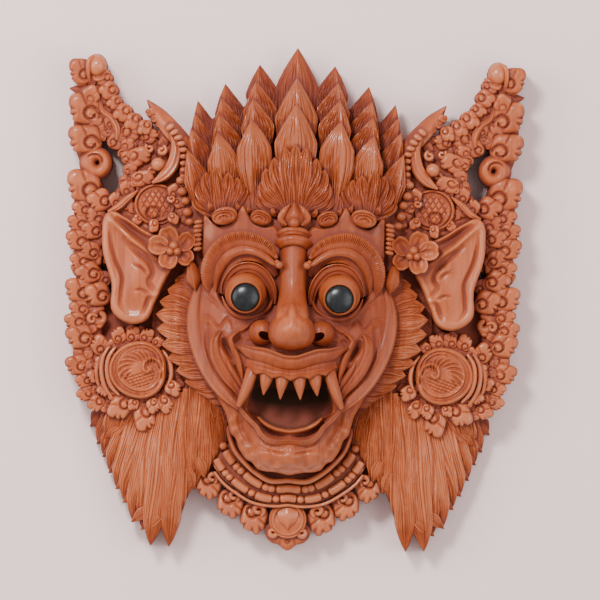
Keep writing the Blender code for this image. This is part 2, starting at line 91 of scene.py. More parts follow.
class Blank:
    """A piece of stock to carve: corners, faces and triangles, as arrays."""

    stock = {}

    def __init__(self, obj):
        bpy.ops.object.mode_set(mode="OBJECT")
        mesh = obj.data
        self.places = np.empty(len(mesh.vertices) * 3)
        mesh.vertices.foreach_get("co", self.places)
        self.places = self.places.reshape(-1, 3)
        self.loops = np.empty(len(mesh.loops), dtype=np.int64)
        mesh.loops.foreach_get("vertex_index", self.loops)
        self.counts = np.empty(len(mesh.polygons), dtype=np.int64)
        mesh.polygons.foreach_get("loop_total", self.counts)
        mesh.calc_loop_triangles()
        self.triangles = np.empty(len(mesh.loop_triangles) * 3, dtype=np.int64)
        mesh.loop_triangles.foreach_get("vertices", self.triangles)
        self.triangles = self.triangles.reshape(-1, 3)
        bpy.data.objects.remove(obj)
        bpy.data.meshes.remove(mesh)

    @classmethod
    def slab(cls, across, along, open_back=False):
        """A sheet drawn down into a slab: x and y run from -1 to 1, and z is 0 on top and -1 below."""
        key = ("slab", across, along, open_back)
        if key not in cls.stock:
            settle()
            bpy.ops.mesh.primitive_grid_add(x_subdivisions=across, y_subdivisions=along, size=2)
            bpy.ops.object.mode_set(mode="EDIT")
            bpy.ops.mesh.select_all(action="SELECT")
            bpy.ops.mesh.extrude_region_move(TRANSFORM_OT_translate={"value": (0, 0, -1)})
            if not open_back:
                bpy.ops.mesh.dissolve_faces()
            bpy.ops.mesh.select_all(action="SELECT")
            bpy.ops.mesh.normals_make_consistent(inside=False)
            cls.stock[key] = cls(bpy.context.object)
        return cls.stock[key]

    @classmethod
    def ball(cls, sides, rings):
        """A ball, which is also a rod with closed ends: z runs along it and x and y go round it."""
        key = ("ball", sides, rings)
        if key not in cls.stock:
            settle()
            bpy.ops.mesh.primitive_uv_sphere_add(segments=sides, ring_count=rings, radius=1)
            bpy.ops.object.mode_set(mode="EDIT")
            bpy.ops.mesh.select_all(action="SELECT")
            bpy.ops.mesh.normals_make_consistent(inside=False)
            cls.stock[key] = cls(bpy.context.object)
        return cls.stock[key]


class Carving:
    """Carved forms gathered for one piece, each on both sides of the mask unless it stands in the middle."""

    def __init__(self):
        self.places, self.loops, self.counts, self.size = [], [], [], 0

    def add(self, places, blank, lone=False):
        places[:, 2] = places[:, 2].clip(0)
        a, b, c = (places[blank.triangles[:, corner]] for corner in range(3))
        right_way = np.einsum("ij,ij->", a, np.cross(b, c)) > 0
        self.put(places, blank, not right_way)
        if not lone:
            self.put(places * (-1, 1, 1), blank, right_way)

    def put(self, places, blank, turned):
        loops = blank.loops
        if turned:
            ends = np.cumsum(blank.counts)
            starts = np.repeat(ends - blank.counts, blank.counts)
            stops = np.repeat(ends, blank.counts)
            loops = loops[stops - 1 - (np.arange(len(loops)) - starts)]
        self.places.append(places)
        self.loops.append(loops + self.size)
        self.counts.append(blank.counts)
        self.size += len(places)

    def piece(self, name, finish, slot="carved_wood", sharp=48, nodes=("carved_mask",)):
        """The gathered forms as one mesh object of the mask, in metres."""
        mesh = bpy.data.meshes.new(name)
        places = np.concatenate(self.places) * MM
        loops, counts = np.concatenate(self.loops), np.concatenate(self.counts)
        mesh.vertices.add(len(places))
        mesh.vertices.foreach_set("co", places.ravel())
        mesh.loops.add(len(loops))
        mesh.loops.foreach_set("vertex_index", loops.astype(np.int32))
        mesh.polygons.add(len(counts))
        starts = np.concatenate([[0], np.cumsum(counts)[:-1]])
        mesh.polygons.foreach_set("loop_start", starts.astype(np.int32))
        mesh.update(calc_edges=True)
        mesh.validate()
        obj = bpy.data.objects.new(name, mesh)
        bpy.context.scene.collection.objects.link(obj)
        settle()
        obj.select_set(True)
        bpy.context.view_layer.objects.active = obj
        bpy.ops.object.shade_smooth_by_angle(angle=math.radians(sharp))
        obj.data.materials.append(finish)
        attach(obj, "root")
        if nodes:
            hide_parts(*nodes)
        return obj


def spline(knots, share):
    """A smooth line through knots, at shares of its length from 0 to 1, with what follows x, y and z."""
    knots = np.asarray(knots, float)
    at = np.concatenate([[0], np.cumsum(np.linalg.norm(np.diff(knots[:, :3], axis=0), axis=1))])
    at /= at[-1]
    slope = np.gradient(knots, at, axis=0) if len(knots) > 2 else np.repeat(np.diff(knots, axis=0), 2, axis=0)
    share = np.asarray(share, float)
    left = np.clip(np.searchsorted(at, share, side="right") - 1, 0, len(at) - 2)
    gap = at[left + 1] - at[left]
    t = ((share - at[left]) / gap)[:, None]
    gap = gap[:, None]
    return ((2 * t**3 - 3 * t**2 + 1) * knots[left] + (t**3 - 2 * t**2 + t) * gap * slope[left]
            + (3 * t**2 - 2 * t**3) * knots[left + 1] + (t**3 - t**2) * gap * slope[left + 1])


def ease(low, high, value):
    t = np.clip((value - low) / (high - low), 0, 1)
    return t * t * (3 - 2 * t)


def bump(x, y, width, length):
    return np.exp(-((x / width) ** 2) - (y / length) ** 2)


def ridge(value, width):
    return np.exp(-((value / width) ** 2))


def across_middle(points):
    """A line that starts in the middle plane, carried on to the other side."""
    return [(-p[0], *p[1:]) for p in points[:0:-1]] + list(points)


def steps(count):
    """How many faces a side gets: an even number, so that a middle crease has a row of corners."""
    return 2 * max(2, round(count * FINENESS / 2))


def strip(path, rise, thick=8.0, foot=None, across=10, along=30, wide=None):
    """A band along a path of (x, y, z, half width). Its face is rise(u, v), u from -1 on the left to 1."""
    blank = Blank.slab(steps(across), steps(along))
    u, v = blank.places[:, 0], (blank.places[:, 1] + 1) / 2
    mid = spline(path, v)
    ahead = spline(path, np.minimum(v + 0.01, 1)) - spline(path, np.maximum(v - 0.01, 0))
    ahead = ahead[:, :2] / np.linalg.norm(ahead[:, :2], axis=1)[:, None]
    reach = u * mid[:, 3].clip(0.1) * (wide(v) if wide else 1)
    x = mid[:, 0] + ahead[:, 1] * reach
    y = mid[:, 1] - ahead[:, 0] * reach
    low = mid[:, 2] - thick if foot is None else foot
    z = np.where(blank.places[:, 2] > -0.5, mid[:, 2] + rise(u, v), low)
    return np.stack([x, y, z], 1), blank


def disc(x, y, outline, rise, foot, turn=0.0, fine=26, flip=False, world=False, open_back=False):
    """A round tablet: outline(angle) is its reach, rise(px, py, rho) its face, by unit disc or world."""
    blank = Blank.slab(steps(fine), steps(fine), open_back)
    u, v = blank.places[:, 0], blank.places[:, 1]
    px, py = u * np.sqrt(1 - v * v / 2), v * np.sqrt(1 - u * u / 2)
    rho = np.hypot(px, py)
    reach = outline(np.arctan2(py, px))
    lx, ly = px * reach, py * reach * (-1 if flip else 1)
    c, s = math.cos(math.radians(turn)), math.sin(math.radians(turn))
    wx, wy = x + lx * c - ly * s, y + lx * s + ly * c
    top = rise(wx, wy, rho) if world else rise(px, py, rho)
    low = foot(wx, wy) if callable(foot) else foot
    return np.stack([wx, wy, np.where(blank.places[:, 2] > -0.5, top, low)], 1), blank


def rod(path, sides=12, rings=36, flat=1.0, cap=0.06):
    """A rib of round section along a path of (x, y, z, radius), closed by round ends."""
    blank = Blank.ball(sides, steps(rings))
    polar = np.arccos(np.clip(blank.places[:, 2], -1, 1)) / math.pi
    around = np.arctan2(blank.places[:, 1], blank.places[:, 0])
    end = np.sqrt(np.clip(1 - (1 - np.minimum(polar, 1 - polar) / cap).clip(0) ** 2, 0, 1))
    mid = spline(path, polar)
    ahead = (spline(path, np.minimum(polar + 0.01, 1)) - spline(path, np.maximum(polar - 0.01, 0)))[:, :3]
    ahead /= np.linalg.norm(ahead, axis=1)[:, None]
    side = np.stack([ahead[:, 1], -ahead[:, 0], np.zeros(len(ahead))], 1)
    side /= np.maximum(np.linalg.norm(side, axis=1), 1e-6)[:, None]
    up = np.cross(side, ahead)
    wide = (mid[:, 3].clip(0.05) * end)[:, None]
    out, over = side * wide * np.cos(around)[:, None], up * wide * flat * np.sin(around)[:, None]
    return mid[:, :3] + out + over, blank


def turned(x, y, levels, sides=24, stretch=(1.0, 1.0), turn=0.0, drape=None):
    """A form turned like a knob: levels of (radius, z, shift along y) from its face to its back."""
    blank = Blank.ball(sides, len(levels) - 1)
    polar = np.arccos(np.clip(blank.places[:, 2], -1, 1)) / math.pi
    level = np.rint(polar * (len(levels) - 1)).astype(int)
    around = np.arctan2(blank.places[:, 1], blank.places[:, 0])
    rows = np.array([(*row, 0.0)[:3] for row in levels])[level]
    lx, ly = rows[:, 0] * np.cos(around) * stretch[0], rows[:, 0] * np.sin(around) * stretch[1] + rows[:, 2]
    c, s = math.cos(math.radians(turn)), math.sin(math.radians(turn))
    wx, wy, z = x + lx * c - ly * s, y + lx * s + ly * c, rows[:, 1]
    if drape:
        z = np.where(np.isnan(z), drape(wx, wy), z)
    return np.stack([wx, wy, z], 1), blank


def bead(x, y, top, across, along=None, turn=0.0, sides=16, deep=1.0):
    """A round bead whose top is at a height."""
    along = along or across
    size = min(across, along) * deep
    bends = np.linspace(0, math.pi, 10)
    levels = [(math.sin(a), top - size + size * math.cos(a)) for a in bends]
    return turned(x, y, levels, sides, (across, along), turn)


def polar_outline(corners, centre, taut=False):
    """A smooth outline through corners as reach by angle, with angle 0 at +X."""
    whole = list(corners) + [(-x, y) for x, y in corners if x > 0.01] if centre[0] == 0 else list(corners)
    offs = np.asarray(whole, float) - centre
    angle, reach = np.arctan2(offs[:, 1], offs[:, 0]), np.hypot(offs[:, 0], offs[:, 1])
    order = np.argsort(angle)
    angle, reach = angle[order], reach[order]
    angle = np.concatenate([angle[-3:] - math.tau, angle, angle[:3] + math.tau])
    reach = np.concatenate([reach[-3:], reach, reach[:3]])
    slope = np.gradient(reach, angle)
    if taut:
        runs = np.diff(reach) / np.diff(angle)
        before, after = runs[:-1], runs[1:]
        slope[1:-1] = np.where(before * after > 0, 2 * before * after
                               / (before + after + 1e-9 * np.sign(before)), 0)

    def outline(a):
        left = np.clip(np.searchsorted(angle, a, side="right") - 1, 0, len(angle) - 2)
        gap = angle[left + 1] - angle[left]
        t = (a - angle[left]) / gap
        return ((2 * t**3 - 3 * t**2 + 1) * reach[left] + (t**3 - 2 * t**2 + t) * gap * slope[left]
                + (3 * t**2 - 2 * t**3) * reach[left + 1] + (t**3 - t**2) * gap * slope[left + 1])

    return outline


def near(x, y, path, parts=24):
    """The distance from places to a smooth line, positive on its right, and how far along it they are."""
    line = spline([(*p, 0.0) for p in path], np.linspace(0, 1, parts + 1))[:, :2]
    best, along, hand = np.full(x.shape, 1e9), np.zeros(x.shape), np.ones(x.shape)
    for step, (start, stop) in enumerate(zip(line, line[1:])):
        run = stop - start
        t = (((x - start[0]) * run[0] + (y - start[1]) * run[1]) / (run @ run)).clip(0, 1)
        dx, dy = x - start[0] - t * run[0], y - start[1] - t * run[1]
        far = np.hypot(dx, dy)
        closer = far < best
        best = np.where(closer, far, best)
        along = np.where(closer, (step + t) / parts, along)
        hand = np.where(closer, np.sign(run[1] * dx - run[0] * dy), hand)
    return best * hand, along


def crease(x, y, path, width, depth, blunt=0.5):
    """A groove along a line, shallower at its ends. A negative depth makes a ridge."""
    knots = np.asarray(path, float)
    low, high = knots.min(axis=0) - 3 * width, knots.max(axis=0) + 3 * width
    close = (x > low[0]) & (x < high[0]) & (y > low[1]) & (y < high[1])
    cut = np.zeros(x.shape)
    if close.any():
        far, along = near(x[close], y[close], path)
        ends = np.sin(math.pi * along.clip(0.03, 0.97)) ** blunt
        cut[close] = -depth * ridge(far, width) * ends
    return cut


# The motifs that are carved over and over

def turned_from(angle, other):
    """The turn between two angles, from minus half a turn to half a turn."""
    return (angle - other + math.pi) % math.tau - math.pi


def head(carving, x, y, rx, ry, top, turn=0.0, flip=False, foot=6.0, fine=34, cuts=(0.1, -0.4),
         eye=(-0.3, -0.3), lone=False, deep=1.0):
    """A scroll head: a squarish lobe, fullest at its upper outer corner, with nicks and a spiral eye."""
    size = min(rx, ry) / 8

    def outline(angle):
        reach = (np.abs(np.cos(angle) / rx) ** 3 + np.abs(np.sin(angle) / ry) ** 3) ** (-1 / 3)
        corner = 0.12 * ridge(turned_from(angle, 0.8), 0.5) - 0.13 * ridge(turned_from(angle, -1.0), 0.5)
        return reach * (0.98 + corner - sum(0.15 * ridge(turned_from(angle, cut), 0.1) for cut in cuts))

    def rise(px, py, rho):
        dome = 3.4 * (np.sqrt(np.clip(1 - rho**5, 0, 1)) - 1) + 0.9 * px + 0.5 * py
        far = np.hypot(px - eye[0], py - eye[1])
        around = np.arctan2(py - eye[1], px - eye[0])
        groove = -2.6 * deep * ridge(far - (0.36 + 0.055 * around), 0.08)
        knob = 1.2 * ridge(far, 0.2) - 1.6 * ridge(far, 0.07)
        fold = -1.3 * deep * ridge(px - eye[0] - 0.1 - 0.3 * py, 0.07) * ease(0.15, 0.4, py)
        angle = np.arctan2(py, px)
        nicks = sum(ridge(turned_from(angle, cut + 0.08), 0.1) for cut in cuts)
        return top + (dome + groove + knob + fold - 1.8 * nicks * ease(0.55, 0.9, rho)) * size

    carving.add(*disc(x, y, outline, rise, foot, turn, fine, flip), lone=lone)


def curl(carving, x, y, radius, z, turn=0.0, wide=0.3, flip=False, turns=1.2, lone=False, rings=40, tail=0.0):
    """A rib that winds in to a round knob: a volute."""
    swing = -1 if flip else 1
    path = []
    for share in np.linspace(0, 1, 22):
        aim = math.radians(turn) + swing * share * turns * math.tau
        reach = radius * (1 - wide) * (1 - 0.78 * share**0.85)
        thick = wide * radius * (0.75 + 0.35 * math.sin(math.pi * min(1, 1.6 * share)) + 0.25 * share**4)
        path.append((x + reach * math.cos(aim), y + reach * math.sin(aim), z + 0.25 * radius * share, thick))
    if tail:
        aim = math.radians(turn) - swing * math.pi / 2
        start = path[0]
        path.insert(0, (start[0] + tail * math.cos(aim), start[1] + tail * math.sin(aim), z - 1, 0.4 * wide
                        * radius))
    carving.add(*rod(path, sides=10, rings=rings, flat=1.2, cap=0.03), lone=lone)


def strands(u, v, grooves, waves, seed):
    """Combed hair from 1 to -1: round strands between narrow cuts, none quite like its neighbour."""
    sway = u + 0.07 * np.sin(5 * u + 2.3 * seed) + waves * np.sin(6 * v + seed)
    return 2 * np.abs(np.sin(math.pi * grooves * sway)) ** 0.7 - 1


def lock(carving, path, grooves=3, depth=0.5, plump=1.5, thick=9.0, along=26, lone=False, waves=0.0,
         point=1.4, root=0.55, tip=0.62, seed=0.0):
    """A lock of hair along a path of (x, y, z, half width): a leaf with strands and a rounded point."""

    def wide(v):
        out = ((1 - v) / tip).clip(0, 1)
        return (root + (1 - root) * ease(0, 0.4, v)) * (1 - (1 - out) ** point) ** 0.75

    def rise(u, v):
        cut = depth * strands(u, v, grooves, waves, seed) * ease(1.02, 0.85, v)
        return plump * (np.sqrt(np.clip(1 - np.abs(u) ** 3, 0, 1)) - 1) + cut

    carving.add(*strip(path, rise, thick=thick, across=max(8, 9 * grooves), along=along, wide=wide),
                lone=lone)


# The mask's forms

GROUND = [(0, 104), (46, 100), (70, 92), (90, 95), (102, 94), (107.5, 84), (108.5, 73), (113, 63), (121, 58),
          (124, 48), (117, 35), (116, 14), (124, 2), (130, -12), (131, -30), (130, -46), (122, -63),
          (104, -74), (80, -74), (62, -80), (50, -96), (42, -113), (22, -126), (0, -128)]
FACE = [(0, 61), (18, 61), (36, 58), (50, 50), (58, 38), (62, 22), (63.5, 5), (65, -8), (64.5, -20),
        (61, -31), (55.5, -44), (48.5, -57), (45, -64), (43, -68), (40.4, -73), (38.6, -80), (37.4, -84.5),
        (33.6, -89), (32.2, -93.5), (29.6, -98), (27.6, -100.7), (23, -103.5), (20, -107), (15.4, -108.4),
        (10.3, -108.8), (4.5, -109.7), (0, -110.5)]
MOUTH = [(0, -46), (10, -45), (20, -46), (22.5, -55), (26, -64), (25.8, -70.5), (19.4, -74.2), (11, -79.6),
         (0, -81.8)]
WING_BED = [(127, 136), (118, 128), (108, 116), (95, 107), (84, 105), (70, 98), (60, 84), (57, 66), (60, 46),
            (84, 40), (104, 47), (115, 55), (112, 64), (108.6, 74), (108.6, 84), (112, 94), (122, 98),
            (131, 110), (131, 126)]
WING_GAP = [(127, 93), (110, 96), (107, 78), (111, 66), (116, 57), (127, 64)]
EAR = [(118.4, 52), (121.1, 37.5), (119.7, 24.5), (115.6, 12.3), (114.4, 1.4), (113.9, -9.4), (106.5, -16),
       (98, -17.5), (91, -14), (87.5, -6), (84, 2), (80, 11), (76, 20), (78, 32), (87.4, 38.6), (97, 43.4),
       (107.3, 50.1), (115.5, 53.6)]


def ground_z(x, y):
    """The height of the block that the ornament is carved out of."""
    return 17 + 31 * bump(x, y + 4, 76, 104)


def hollow_z(x, y):
    """The back: flat, with a shallow hollow behind the face."""
    return 30 * np.sqrt(np.clip(1 - (x / 56) ** 2 - ((y + 4) / 68) ** 2, 0, 1))


def face_z(x, y):
    """The skin of the face before its features: a dome with eye hollows, cheeks, muzzle, chin and brow."""
    dome = 36 + 32 * np.sqrt(np.clip(1 - (x / 71) ** 2 - ((y + 25) / 103) ** 2, 0, 1))
    hollows = 1.5 * bump(np.abs(x) - EYE[0], y - EYE[1], 17, 15)
    cheeks = 5 * bump(np.abs(x) - 45, y + 34, 12, 20)
    form = dome - hollows + cheeks + 11 * bump(x, y + 37, 30, 14)
    return form + 9 * bump(x, y + 98, 22, 13) + 7 * bump(x, y - 50, 50, 14)


def leafy(x, y):
    """A shallow rolling surface, as gouges leave between the curls."""
    return np.sin(0.85 * x + 1.9 * np.sin(0.33 * y)) * np.sin(0.8 * y + 1.7 * np.sin(0.36 * x))


def base_block(carving):
    carving.add(*disc(0, 0, polar_outline(GROUND, (0, 0)), lambda x, y, rho: ground_z(x, y) - 3 - 5
                      * ease(0.9, 1, rho), hollow_z, fine=72, world=True, open_back=True), lone=True)
    spine = [(127, 147, 24, 5), (130.5, 130, 25, 7.5), (132.5, 112, 25, 8.5), (133, 96, 25, 7.5),
             (131.5, 82, 22, 5), (130.5, 68, 25, 9), (130, 50, 25, 9.5), (129.5, 20, 25, 8),
             (129.5, -20, 25, 9), (127, -48, 25, 9.5), (118, -66, 25, 9)]
    arm = [(100, 92, 25, 11), (111, 105, 25.5, 9), (119, 121, 25.5, 7), (124, 142, 25, 5)]
    for path in (spine, arm):
        carving.add(*strip(path, lambda u, v: -4 * np.abs(u) ** 5 + 0.8 * np.sin(9 * u + 2 * np.sin(70 * v))
                           * np.sin(90 * v), foot=0.0, across=20, along=200))
    carving.add(*disc(97, 92, polar_outline(WING_BED, (97, 92)), lambda x, y, rho: 24.5 + 13.5
                      * bump(x - 60, y - 40, 42, 62) + 1.3 * leafy(x, y) - 5 * ease(0.92, 1, rho), 2, fine=84,
                      world=True))
    x, y = MEDALLION
    carving.add(*disc(x, y, lambda a: 27 + 1.6 * np.cos(9 * a), lambda x, y, rho: 29 + 1.1 * leafy(x, y) - 6
                      * ease(0.88, 1, rho), 2, fine=64, world=True))
    cheek = [(63, 30, 36, 6), (71, 12, 33, 9), (77, -8, 30, 11), (74, -30, 30, 12), (62, -50, 31, 12),
             (50, -64, 30, 10)]
    carving.add(*strip(cheek, lambda u, v: -2 * u * u + 0.8 * np.sin(8 * u) * np.sin(60 * v), foot=6.0,
                       across=20, along=90))
    temple = [(68, 92, 40, 6), (66, 74, 43, 6.5), (63, 54, 46, 6), (61, 36, 47, 5.5), (60, 16, 46, 5)]
    carving.add(*strip(temple, lambda u, v: -3 * u * u + 0.8 * np.sin(40 * v), foot=6.0, across=10, along=50))
    shelf = [(113, 58, 34, 4), (102, 51.5, 36, 5), (90, 43.5, 38.5, 6), (78, 43, 41, 7), (66, 44, 43, 6)]
    carving.add(*strip(shelf, lambda u, v: -1.5 * u * u + 0.7 * np.sin(7 * u) * np.sin(50 * v), foot=6.0,
                       across=16, along=60))
    web = [(42, -80, 26, 7), (47, -92, 24, 7), (50.5, -103, 21, 6), (52, -110, 19, 4)]
    carving.add(*strip(web, lambda u, v: -1.5 * u * u, foot=4.0, across=8, along=30))
    brow_bed = across_middle([(0, 60, 58, 8), (16, 59, 57, 8), (32, 60, 54, 8), (50, 58, 50, 8),
                              (60, 52, 46, 6)])
    carving.add(*strip(brow_bed, lambda u, v: -2 * u * u, foot=20.0, across=10, along=60), lone=True)


def face_skin(carving, looks):
    """The whole skin of the face in one sheet, with the mouth sunk into it and its lines cut in."""
    mouth = polar_outline(MOUTH, (0, -63))

    def rise(x, y, rho):
        ax = np.abs(x)
        z = face_z(x, y) - 6 * (1 - np.sqrt(1 - ((rho - 0.94) / 0.06).clip(0, 1) ** 2))
        z += crease(ax, y, [(12, 19), (11.8, 8), (12.6, -2), (15.5, -11)], 3.2, 6)
        z += crease(ax, y, [(45.5, 5.5), (43.5, 0.5), (40.5, -4)], 1.8, 11)
        z -= 2.0 * bump(ax - 30, y + 10.5, 11, 4.0)
        for path, wide, deep in (([(12.5, -10.6), (18.7, -11.6), (23.8, -13.5), (27.3, -17), (30.9, -19.6),
                                   (35, -20.6)], 1.1, -2.4),
                                 ([(18, -14.5), (24.5, -17.5), (28, -21), (33, -23.5)], 1.6, 1.6),
                                 ([(57, -11.5), (52.6, -11.4), (50.0, -13), (47.7, -16.2), (45.1, -17.8),
                                   (43, -14.6), (39.7, -12.2), (37.6, -15), (36.7, -18.8)], 0.7, 1.5),
                                 ([(58, -14.5), (52, -14.8), (48, -19), (44.6, -20.6), (42, -17.2),
                                   (40, -15.6), (38.6, -18)], 1.5, -0.5)):
            z += crease(ax, y, path, wide, deep)
        z += crease(ax, y, [(43, -24), (41, -30), (37.8, -35), (35.2, -39)], 2.0, 9, blunt=0.8)
        for path, wide, deep in (([(36, -41), (32, -48), (29.5, -54)], 1.8, 4),
                                 ([(52.5, -18), (53, -29), (49.5, -40), (43.5, -50), (36, -58.5)], 1.7, 4),
                                 ([(31, -24.5), (33.5, -27), (35, -29.5)], 1.6, 3),
                                 ([(0, -33), (8, -32.3), (16, -30), (24, -27.5), (31, -27)], 1.8, 3),
                                 ([(0.01, -92.6), (8, -92.8), (14, -91.4), (18.5, -87.2)], 0.8, 1.3),
                                 ([(0.01, -96.4), (6, -96.2), (13, -94.9), (18.5, -93.2)], 0.8, 1.5),
                                 ([(0.01, -94.6), (8, -94.4), (14, -93.2)], 0.5, 0.5),
                                 ([(0.01, -106.1), (3, -106.2), (8, -107.0), (13.5, -105.8), (18, -102.4)],
                                  0.9, 1.4)):
            z += crease(ax, y, path, wide, deep)
        z += crease(x, y, [(-0.6, -98.5), (0.4, -100.5), (1.6, -102)], 0.7, 0.9)
        z += crease(ax, y, [(19, -92), (22, -96), (21.5, -101.5)], 1.3, 1.1)
        z += crease(ax, y, [(32.5, -72), (31, -80), (27.5, -87.5), (23.5, -93)], 2.2, 2.8)
        z += 2.2 * bump(x, y + 101, 9, 5) + 2.0 * bump(ax - 17, y + 98.5, 5.5,
                                                       5) - 1.4 * bump(ax - 10, y + 101, 2.2, 6)
        z += 1.6 * bump(ax - 29.5, y + 88, 3.4, 5) + 1.4 * bump(ax - 35, y + 75.5, 3, 5)
        z += crease(ax, y, [(39, -64), (36.5, -74), (34.5, -82), (29.5, -92), (24, -99)], 1.4, 0.9)
        z += crease(ax, y, [(28, -75.5), (31.5, -79)], 0.9, 1.0)
        z += 0.6 * np.sin(y * 0.85 + ax * 0.45) * ease(0.84, 0.97, rho) * ease(-66, -80, y)
        z -= 0.6 * ridge(np.sin(1.5 * x), 0.35) * ridge(y + 94.2 - 0.004 * x * x, 1.3) * ease(22, 17, ax)
        for path, wide, deep in (([(0, 53.5), (12, 52.5), (18, 58)], 1.3, 2),
                                 ([(26.6, 52), (32.4, 56.5), (36, 53)], 1.2, -1.5),
                                 ([(52, 44), (56, 30), (57.5, 16)], 1.2, 1.4),
                                 ([(55, 4), (52, 0), (48, -3), (45, -7)], 1.3, 1.6)):
            z += crease(ax, y, path, wide, deep)
        inside = np.hypot(x, y + 63) / mouth(np.arctan2(y + 63, x))
        floor = 37 + 0.75 * (-56 - y).clip(0) + 3 * inside**4 + 1.4 * bump(ax - 9, y + 72, 7, 9)
        z = z + (floor - z) * ease(1.035, 0.965, inside)
        gutter = crease(ax, y, [(0.01, -85.3), (8, -85), (14, -82.4), (19, -77.6), (25, -73.6)], 2.0, 8)
        return z + gutter * ease(0.97, 1.03, inside)

    carving.add(*disc(0, -24, polar_outline(FACE, (0, -24)), rise, 14, fine=looks.face_fineness, world=True),
                lone=True)


def eyes(carving):
    """The eyeballs with their pupils' sockets, the lids, the brows and the brow hair."""
    top = lambda x, y: 68.8 + np.sqrt(np.clip(13.2**2 - (x - EYE[0]) ** 2 - (y - 3.8) ** 2, 0, None))
    gap = float("nan")
    levels = [(0, 76.8), (8.9, 76.8), (8.95, 80.6), (9.4, 81.1), (10.0, 80.5, 0.1), (10.7, gap, 0.8),
              (11.4, gap, 1.5), (12.1, gap, 2.2), (12.6, gap, 2.65), (12.95, gap, 2.9), (13.15, gap, 3.05),
              (13.2, 66, 3.1), (12, 56, 3.1), (0, 56, 3.1)]
    carving.add(*turned(*EYE, levels, 72, drape=top))
    lid = [(11.8, -3.0, 66, 1.5), (12.2, 3.6, 68.5, 2.4), (14.0, 9.2, 70.5, 2.9), (17.2, 14.2, 72, 3.2),
           (21.6, 18.0, 73.2, 3.3), (26.4, 19.6, 73.6, 3.3), (31.6, 19.4, 73.4, 3.2), (36.6, 17.0, 72.2, 3.0),
           (40.4, 12.6, 70.4, 2.6), (42.8, 7.2, 68, 2.1), (43.4, 2.2, 65.5, 1.2)]
    carving.add(*strip(lid, lambda u, v: 1.3 * ridge(u + 0.84, 0.15) + 1.1 * ridge(u - 0.2, 0.17) - 1.6
                       * (1 - u * u).clip(0) - 1.0 * ridge(u - 0.62, 0.2), foot=50.0, across=36, along=90))
    under = [(12.6, -0.6, 67, 0.9), (14.4, -5.0, 67, 1.3), (18.6, -9.0, 66.6, 1.5), (24.6, -11.4, 66.2, 1.6),
             (31.0, -11.8, 66, 1.6), (37.0, -9.4, 65.6, 1.5), (41.4, -4.6, 65, 1.2), (44.2, 1.4, 63.4, 0.5)]
    carving.add(*strip(under, lambda u, v: -1.6 * np.abs(u) ** 2.4, foot=52.0, across=12, along=70))
    band = [(10.5, 14.8, 66, 1.6), (14.2, 20, 69.5, 2.6), (18.6, 24.6, 72, 3.0), (24, 26.6, 73, 3.2),
            (30, 27, 72.5, 3.3), (35.8, 25.2, 71, 3.3), (40.8, 21, 68.5, 3.3), (44.2, 15.2, 65, 3.2),
            (45.8, 9, 61, 2.6), (46, 3, 57, 1.4)]
    carving.add(*strip(band, lambda u, v: -1.7 * (1 - u * u), foot=48.0, across=14, along=60))
    brow = [(9.4, 21.4, 77.6, 1.4), (12.2, 22.6, 77.8, 1.7), (16.6, 25.8, 78, 2.1), (22.5, 29.2, 78, 2.6),
            (28.3, 30.7, 77.2, 2.9), (34.1, 30.1, 75.8, 3.0), (39.6, 27.4, 73.4, 3.0), (44, 22.6, 70, 3.0),
            (46.8, 16.6, 66, 2.8), (48.2, 10, 62, 2.0), (48.4, 4, 58, 0.8)]
    carving.add(*strip(brow, lambda u, v: -1.8 * np.abs(u - 0.2) ** 2.2 + 0.7 * ridge(u + 0.8, 0.2),
                       foot=50.0, across=18, along=90))
    carving.add(*bead(8.8, 21.4, 80, 2.5, sides=22))
    carving.add(*bead(10.2, 23.2, 78.6, 1.6, sides=18))
    hair = [(10.6, 25.4, 73, 1.3), (13.6, 29.4, 74.5, 2.8), (17.5, 32.9, 75, 4.0), (25.2, 36.0, 74.5, 4.6),
            (32.5, 36.9, 72.6, 5.2), (39.9, 35.1, 69.5, 5.3), (46.4, 30.2, 65.8, 5.6), (50.6, 23.6, 62, 5.8),
            (52.6, 16.2, 58.6, 5.4), (53, 8.6, 55, 3.6), (52.2, 3.5, 52.5, 1.2)]
    hair = [(x, y, z + 3.8, half) for x, y, z, half in hair]
    plate = [(57.2, 45), (56.2, 52.4), (51.4, 47.4), (46.0, 44.8), (40.6, 46.8), (36.4, 51.4), (32.6, 58.2),
             (28.6, 52.4), (24.6, 47.4), (18.4, 45.0), (11.6, 45.6), (8.4, 42), (8.2, 32), (9, 20), (18, 10),
             (30, 6), (42, 5), (51, 8), (55, 14), (57, 24), (57.2, 36)]
    carving.add(*disc(44, 16, polar_outline(plate, (44, 16), taut=True), lambda x, y, rho: 69.6 - 0.0050
                      * (x - 6) ** 2 - 2.0 * ease(0.955, 1, rho) ** 2 - 8 * ease(30, 20, y), 46, fine=110,
                      world=True))
    combed = lambda u, v: (-1.5 * np.abs(u) ** 5 - 0.5 * (u + 1) + 0.42
                           * (1 - 2 * np.abs(np.sin(math.pi * 66 * v)) ** 3) * ease(0.5, -0.3, u)
                           * ease(0, 0.05, v) * (1.15 - 0.85 * ease(0.4, 0.85, v)))
    carving.add(*strip(hair, combed, foot=46.0, across=14, along=430, wide=lambda v: 1 + 0.02
                       * np.cos(math.tau * 36 * v)))


